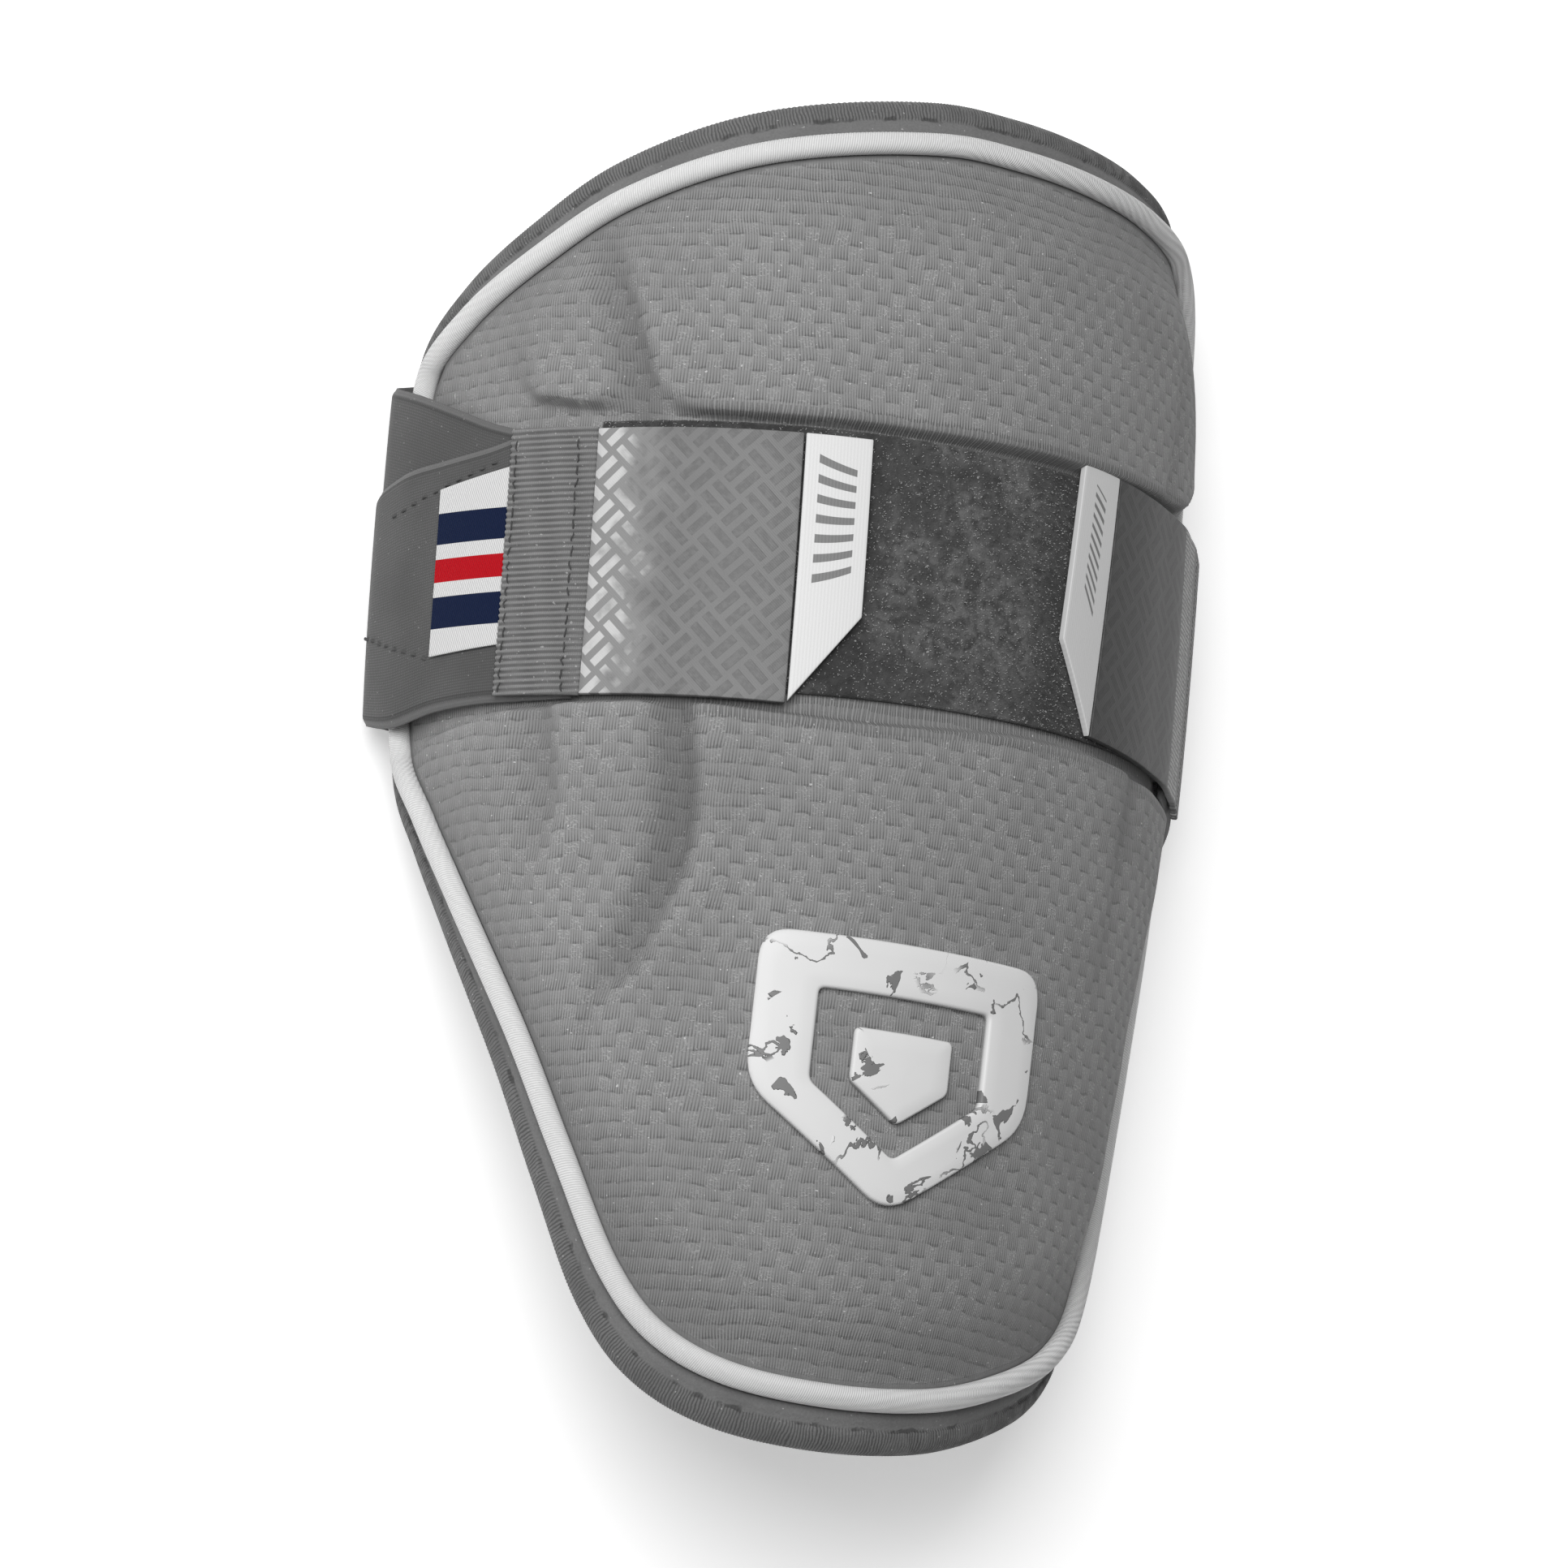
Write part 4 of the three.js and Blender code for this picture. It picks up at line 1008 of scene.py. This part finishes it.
def edge_binding():
    top = -FLANGE_DROP + CLEARANCE
    bottom = -PAD_THICKNESS - CLEARANCE
    middle, half = (top + bottom) / 2, (top - bottom) / 2
    outside = half + BINDING_CLOTH
    rib, seam = 0.13, 3.4
    turn = np.linspace(math.pi / 2, 3 * math.pi / 2, 11)
    fold = [(2.4 + 2.8 * math.cos(a), middle + outside * math.sin(a), rib) for a in turn]
    upper = [(BINDING_WIDTH + 0.3, top, 0), (BINDING_WIDTH + 0.35, top + BINDING_CLOTH * 0.8, 0),
             (BINDING_WIDTH - 0.1, top + BINDING_CLOTH + 0.1, 0), (seam + 0.9, top + 0.9, 0),
             (seam, top + BINDING_CLOTH - 0.35, 0), (seam - 0.4, top + BINDING_CLOTH, rib)]
    lower = [(BINDING_WIDTH, bottom - BINDING_CLOTH, 0), (BINDING_WIDTH, bottom, 0)]
    inside = [(BINDING_CLOTH, bottom, 0), (BINDING_CLOTH, top, 0)]
    ribs = round(RIM_WAY[-1] / BINDING_RIB)
    obj = rim_loop("binding", ribs, upper + fold + lower + inside, binding_cloth())
    weld(obj)
    finish_piece(obj, "edge_binding")


def piping():
    sides = 16
    radius = PIPING_WIDTH / 2
    middle = -FLANGE_DROP + CLEARANCE + radius
    turn = 2 * math.pi * np.arange(sides) / sides
    section = [(PIPING_INSET + radius * math.cos(a), middle + radius * math.sin(a), 0.06)
               for a in turn]
    obj = rim_loop("piping_cord", round(RIM_WAY[-1] / PIPING_RIB), section, piping_cloth())
    weld(obj)
    finish_piece(obj, "piping")


# Strap pieces
def corner_mix(corners, u, v):
    low_left, low_right, high_left, high_right = (np.array(c) for c in corners)
    u, v = u[..., None], v[..., None]
    low, high = low_left * (1 - u) + low_right * u, high_left * (1 - u) + high_right * u
    point = low * (1 - v) + high * v
    return RADIUS * point[..., 0], HALF_LENGTH * point[..., 1]


def patch(name, corners, rows, columns, base, thickness, material, relief=None, uv_size=None):
    def place(u, v, face):
        arc, y = corner_mix(corners, u, v)
        height = base(arc, y)
        if face > 0:
            height = height + thickness + (relief(u, v) if relief else 0)
        return on_trough(arc, y, height)

    points, faces, share = slab_mesh(rows, columns, place)
    arc, y = corner_mix(corners, share[:, 0], share[:, 1])
    low = np.array(corners)[0]
    uv = np.column_stack([arc - RADIUS * low[0], y - HALF_LENGTH * low[1]])
    if uv_size:
        uv = share * np.array(uv_size)
    return make_object(name, points, faces, uv, material)


def on_loop(arc, y):
    return np.full(np.shape(arc), TAB_BASE)


def over_lower_band(arc, y):
    share = np.abs(arc) / strap_half(y)
    turn = np.where(arc < 0, share, 2 - share)
    return value_at(LOWER_BAND_ROWS, "turn", "lift", turn) + CLEARANCE


TAB_CLIMB = 0.82               # arc share where the right tab starts to climb out of the channel
TAB_CLIMB_WIDTH = 0.18


def right_tab_base(arc, y):
    climb = ramp(arc / RADIUS, TAB_CLIMB, TAB_CLIMB_WIDTH)
    return TAB_BASE + (over_lower_band(arc, y) - TAB_BASE) * climb


def brushed(u, v):
    """Matted nap of the loop cloth."""
    return 0.12 * (np.sin(97 * u + 3 * np.sin(41 * v)) * np.sin(53 * v + 2 * np.sin(67 * u))
                   + np.sin(211 * u + 19 * v) * np.sin(127 * v - 31 * u)) - 0.15


def loop_panel():
    base = lambda arc, y: np.full(np.shape(arc), LOOP_BASE)
    obj = patch("loop_field", LOOP_PANEL, 110, 300, base, LOOP_CLOTH, loop_cloth(), brushed)
    finish_piece(obj, "loop_panel")


FIBRE_HALF_WIDTH = 0.045


def loop_fibres(count=9000, seed=7):
    """Short bent fibres that stand in the loop cloth."""
    rng = np.random.default_rng(seed)
    arc, y = corner_mix(LOOP_PANEL, rng.uniform(0, 1, count), rng.uniform(0, 1, count))
    turn = rng.uniform(0, 2 * math.pi, count)
    length = rng.uniform(0.12, 0.45, count) * rng.uniform(0.4, 1.0, count)
    rise = rng.uniform(0.05, 0.3, count)
    top = LOOP_BASE + LOOP_CLOTH
    points = []
    side = np.stack([-np.sin(turn), np.cos(turn)], 1) * FIBRE_HALF_WIDTH
    run = np.stack([np.cos(turn), np.sin(turn)], 1) * length[:, None]
    for share, lift in ((0.0, 0.0), (0.35, 1.0), (0.7, 0.9), (1.0, 0.1)):
        for sign in (-1, 1):
            a = arc + run[:, 0] * share + side[:, 0] * sign
            b = y + run[:, 1] * share + side[:, 1] * sign
            points.append(on_trough(a, b, top - 0.03 + rise * lift))
    points = np.stack(points, 1).reshape(-1, 3)
    start = np.arange(count) * 8
    faces = [quads(start + k, start + k + 1, start + k + 3, start + k + 2) for k in (0, 2, 4)]
    obj = make_object("loop_fibres", points, np.concatenate(faces), None,
                      thread_cloth("loop_fibre", 0.1, 0.6, 0.6, 0.8))
    finish_piece(obj)


def tabs_and_tips():
    left = patch("left_tab", LEFT_TAB, 40, 40, on_loop, TAB_CLOTH,
                 printed_tab("printed_tab", 0.2, 0.135, 0.62))
    finish_piece(bevel(left, 0.2), "left_hook_tab")
    left_tip = patch("left_tip", LEFT_TIP, 40, 14, on_loop, TAB_CLOTH,
                     tip_cloth("white_tip", 15.0, 36.0, 5.6, 3.0, 0.76), uv_size=(10, 37))
    finish_piece(bevel(left_tip, 0.2), "left_tab_tip")
    right = patch("right_tab", RIGHT_TAB, 40, 60, right_tab_base, TAB_CLOTH,
                  printed_tab("dark_printed_tab", 0.08, 0.057, hem=TAB_STRIP))
    finish_piece(bevel(right, 0.2), "right_hook_tab")
    right_tip = patch("right_tip", RIGHT_TIP, 40, 14, on_loop, TAB_CLOTH,
                      tip_cloth("right_white_tip", 17.0, 37.0, 3.0, 1.9, 0.66), uv_size=(10, 38))
    finish_piece(bevel(right_tip, 0.2), "right_tab_tip")


def ribbed(u, v):
    """Cross ribs of the ribbon, worn a little uneven."""
    length = HALF_LENGTH * (RIBBON[2][1] - RIBBON[0][1])
    ribs = 0.5 * np.sin(2 * math.pi * v * length / RIBBON_RIB) - 0.5
    return 0.32 * ribs * (1 + 0.25 * np.sin(17 * u + 9 * v))


def ribbon_and_label():
    lying = lambda arc, y: over_lower_band(arc, y) + RIBBON_RAISED
    ribbon = patch("ribbon", RIBBON, 360, 40, lying, RIBBON_CLOTH, ribbon_cloth(),
                   ribbed)
    finish_piece(ribbon, "ribbon_end")
    label = patch("label", LABEL, 40, 30, over_lower_band, LABEL_CLOTH, label_cloth())
    finish_piece(bevel(label, 0.12), "woven_label")


ROLLED_DROP = 0.65             # how far the band's edges roll down, over this share of its width
ROLLED_SHARE = 0.05


def elastic_band(name, rows, node, material):
    start, end = rows["turn"][0], rows["turn"][-1]

    def place(u, v, face):
        turn = start + (end - start) * v
        low, high, lift = (value_at(rows, "turn", key, turn) for key in ("low", "high", "lift"))
        y = HALF_LENGTH * (low + (high - low) * u)
        rolled = ROLLED_DROP * (1 - ease(np.minimum(u, 1 - u) / ROLLED_SHARE)) ** 2
        height = lift - rolled if face > 0 else lift - BAND_CLOTH
        return on_strap(turn, y, height)

    points, faces, share = slab_mesh(420, 90, place)
    turn = start + (end - start) * share[:, 1]
    wide = HALF_LENGTH * (rows["high"][0] - rows["low"][0])
    edge = wide * np.minimum(share[:, 0], 1 - share[:, 0])
    uv = np.column_stack([turn * strap_half(0.0), share[:, 0] * wide, edge, 0 * edge])
    obj = make_object(name, points, faces, uv, material)
    finish_piece(obj, node)
    return obj


def strap_bands():
    material = elastic_cloth()
    elastic_band("lower_elastic", LOWER_BAND_ROWS, "lower_elastic_band", material)
    elastic_band("upper_elastic", UPPER_BAND_ROWS, "upper_elastic_band", material)
    hem = patch("right_hem", RIGHT_HEM, 60, 12, over_lower_band, TAB_CLOTH, hem_cloth())
    finish_piece(bevel(hem, 0.3), "right_tab_hem")


# Emblem
def rounded(corners, radius, steps=6):
    """Outline in mm with its corners rounded."""
    out = []
    count = len(corners)
    for k in range(count):
        back, here, ahead = corners[k - 1], corners[k], corners[(k + 1) % count]
        a = here + (back - here) / np.linalg.norm(back - here) * radius
        b = here + (ahead - here) / np.linalg.norm(ahead - here) * radius
        for t in np.linspace(0, 1, steps + 1):
            out.append((1 - t) ** 2 * a + 2 * t * (1 - t) * here + t**2 * b)
    return np.array(out)


def resample(outline, count):
    line = closed(outline)
    total = way_along(line)
    want = np.linspace(0, total[-1], count, endpoint=False)
    return np.column_stack([np.interp(want, total, line[:, k]) for k in (0, 1)])


def emblem_corners(scale):
    return PLATE_CORNERS * np.array([EMBLEM_WIDTH, EMBLEM_LENGTH]) * scale


def emblem_place(flat, height):
    arc = RADIUS * EMBLEM_ACROSS + flat[..., 0]
    return on_trough(arc, HALF_LENGTH * EMBLEM_ALONG + flat[..., 1], height)


def emblem():
    rubber = emblem_rubber()
    count = 240
    outer = resample(rounded(emblem_corners(1), 5), count)
    hole = resample(rounded(emblem_corners(EMBLEM_RING_HOLE), 1.2), count)
    top, base = CLEARANCE + EMBLEM_HEIGHT, 0.0
    side, shoulder = top - 0.35, top - 0.1
    levels = [(0.0, base), (0.0, side), (0.03, shoulder), (0.06, top), (0.3, top), (0.5, top),
              (0.7, top), (0.94, top), (0.97, shoulder), (1.0, side), (1.0, base)]
    flat = np.stack([outer * (1 - share) + hole * share for share, _ in levels], 1)
    heights = np.array([height for _, height in levels])[None].repeat(count, 0)
    i, j = counted(count, len(levels))
    here, ahead, beside = i * len(levels), (i + 1) % count * len(levels), (j + 1) % len(levels)
    faces = quads(here + j, ahead + j, ahead + beside, here + beside)
    ring = make_object("emblem_ring", emblem_place(flat, heights).reshape(-1, 3), faces,
                       flat.reshape(-1, 2), rubber)
    finish_piece(ring, "emblem_outline")
    edge = resample(rounded(emblem_corners(EMBLEM_PLATE), 1.0), count)
    levels = [(1.0, base), (1.0, side), (0.97, shoulder), (0.94, top), (0.6, top), (0.3, top),
              (0.02, top)]
    flat = np.stack([edge * share for share, _ in levels], 0)
    heights = np.array([height for _, height in levels])[:, None].repeat(count, 1)
    faces = tube_faces(len(levels), count).tolist() + end_caps(len(levels), count)
    plate = make_object("emblem_inner", emblem_place(flat, heights).reshape(-1, 3), faces,
                        flat.reshape(-1, 2), rubber)
    finish_piece(plate, "emblem_plate")


# Stitches
def stitches(name, arcs, ys, height, pitch, length, material, radius=0.16):
    """Threads along a line of points on the trough, lying on height(arc, y)."""
    line = np.column_stack([arcs, ys])
    total = way_along(line)
    points, faces = [], []
    sides, sizes = 6, radius * np.array([0.45, 1, 1, 1, 0.45])
    rings = len(sizes)
    tube = tube_faces(rings, sides).tolist() + end_caps(rings, sides)
    for start in np.arange(0, total[-1] - length, pitch):
        share = np.linspace(0, 1, rings)
        at = start + share * length
        arc, y = (np.interp(at, total, line[:, k]) for k in (0, 1))
        lift = height(arc, y) + radius * (1.6 * np.sin(math.pi * share) - 0.6)
        centre = on_trough(arc, y, lift)
        run = centre[-1] - centre[0]
        run /= np.linalg.norm(run)
        up = on_trough(arc, y, lift + 1)[2] - centre[2]
        beside = np.cross(run, up)
        faces += [[len(points) + corner for corner in face] for face in tube]
        for middle, size in zip(centre, sizes):
            points += [middle + size * (math.cos(turn) * beside + math.sin(turn) * up)
                       for turn in 2 * math.pi * np.arange(sides) / sides]
    obj = make_object(name, points, faces, None, material)
    return finish_piece(obj)


def wavering(line, seed, amount=0.25):
    """Line with its points moved a little to either side, as hand-guided sewing is."""
    rng = np.random.default_rng(seed)
    return line + rng.uniform(-amount, amount, len(line))


def sewn_lines():
    dark = thread_cloth("thread", 0.03, 0.09)
    for seed, across in ((3, 0.07), (4, 0.8)):
        u, v = wavering(np.full(60, across), seed, 0.02), np.linspace(0.01, 0.99, 60)
        arc, y = corner_mix(RIBBON, u, v)
        top = lambda a, b: over_lower_band(a, b) + RIBBON_RAISED + RIBBON_CLOTH - 0.1
        stitches("ribbon_stitches_%d" % seed, arc, y, top, 2.4, 1.9, dark)
    grey_thread = thread_cloth("elastic_thread", 0.05, 0.11)
    on_band = lambda a, b: over_lower_band(a, b) - CLEARANCE - 0.05
    for seed, start, end in ((5, (-1.36, 0.335), (-1.0, 0.405)), (6, (-1.46, 0.165), (-1.2, 0.11))):
        share = np.linspace(0, 1, 30)
        arc = RADIUS * (start[0] * (1 - share) + end[0] * share)
        y = HALF_LENGTH * (start[1] * (1 - share) + end[1] * share)
        y = wavering(y, seed, 0.15)
        stitches("band_stitches_%d" % seed, arc, y, on_band, 2.6, 1.5, grey_thread, 0.28)


# Stage
def floor_and_lights():
    reach = 4.0
    mesh = bpy.data.meshes.new("floor")
    mesh.from_pydata([(-reach, -reach, 0), (reach, -reach, 0), (reach, reach, 0),
                      (-reach, reach, 0)], [], [(0, 1, 2, 3)])
    floor = new_object("floor", mesh)
    paper = Cloth("floor_paper", 0.9)
    paper.colour(grey(0.93))
    paper.shader.inputs["Emission Color"].default_value = (1, 1, 1, 1)
    paper.shader.inputs["Emission Strength"].default_value = 0.4
    mesh.materials.append(paper.done())
    world = bpy.data.worlds.new("studio")
    bpy.context.scene.world = world
    world.use_nodes = True
    light_all_round = world.node_tree.nodes["Background"].inputs
    light_all_round["Color"].default_value = (1, 1, 1, 1)
    light_all_round["Strength"].default_value = 0.18
    light = bpy.data.lights.new("key", "AREA")
    light.size, light.energy = 0.9, 17.5
    lamp = new_object("key", light)
    lamp.location = (-0.58, 0.26, 1.25)
    aim = Vector((0, 0, 0.03)) - lamp.location
    lamp.rotation_euler = aim.to_track_quat("-Z", "Y").to_euler()


# Camera: on a long lens, turned to the left of the crown and towards the forearm end
PHOTO_WIDTH = 1931
PIXEL_MM = 0.1355              # size of a pixel at the distance of the aim point
CAMERA_DISTANCE = 1400
TURN_LEFT = math.radians(20)
TURN_DOWN = math.radians(12)
CAMERA_ROLL = math.radians(-5)
AIM = np.array([0.0, -3.8, 8.6])
AIM_PIXEL = (938, 1030)
FRAME_MIDDLE = (965.5, 966)


def camera():
    data = bpy.data.cameras.new("camera")
    data.sensor_fit = "HORIZONTAL"
    data.sensor_width = 36
    data.lens = data.sensor_width * CAMERA_DISTANCE / (PHOTO_WIDTH * PIXEL_MM)
    data.shift_x = (FRAME_MIDDLE[0] - AIM_PIXEL[0]) / PHOTO_WIDTH
    data.shift_y = (AIM_PIXEL[1] - FRAME_MIDDLE[1]) / PHOTO_WIDTH
    data.clip_end = 20
    obj = new_object("camera", data)
    back = Vector((-math.sin(TURN_LEFT) * math.cos(TURN_DOWN), -math.sin(TURN_DOWN),
                   math.cos(TURN_LEFT) * math.cos(TURN_DOWN)))
    right = Vector((math.cos(TURN_LEFT), 0, math.sin(TURN_LEFT)))
    up = back.cross(right)
    turn = Matrix.Rotation(-CAMERA_ROLL, 3, back)
    right, up = turn @ right, turn @ up
    place = Vector(AIM * MM) + back * CAMERA_DISTANCE * MM
    obj.matrix_world = Matrix.Translation(place) @ Matrix((right, up, back)).transposed().to_4x4()
    bpy.context.scene.camera = obj
    bpy.context.scene.view_settings.view_transform = "Standard"


camera()
floor_and_lights()
padded_shell()
edge_binding()
piping()
loop_panel()
loop_fibres()
strap_bands()
tabs_and_tips()
ribbon_and_label()
sewn_lines()
emblem()
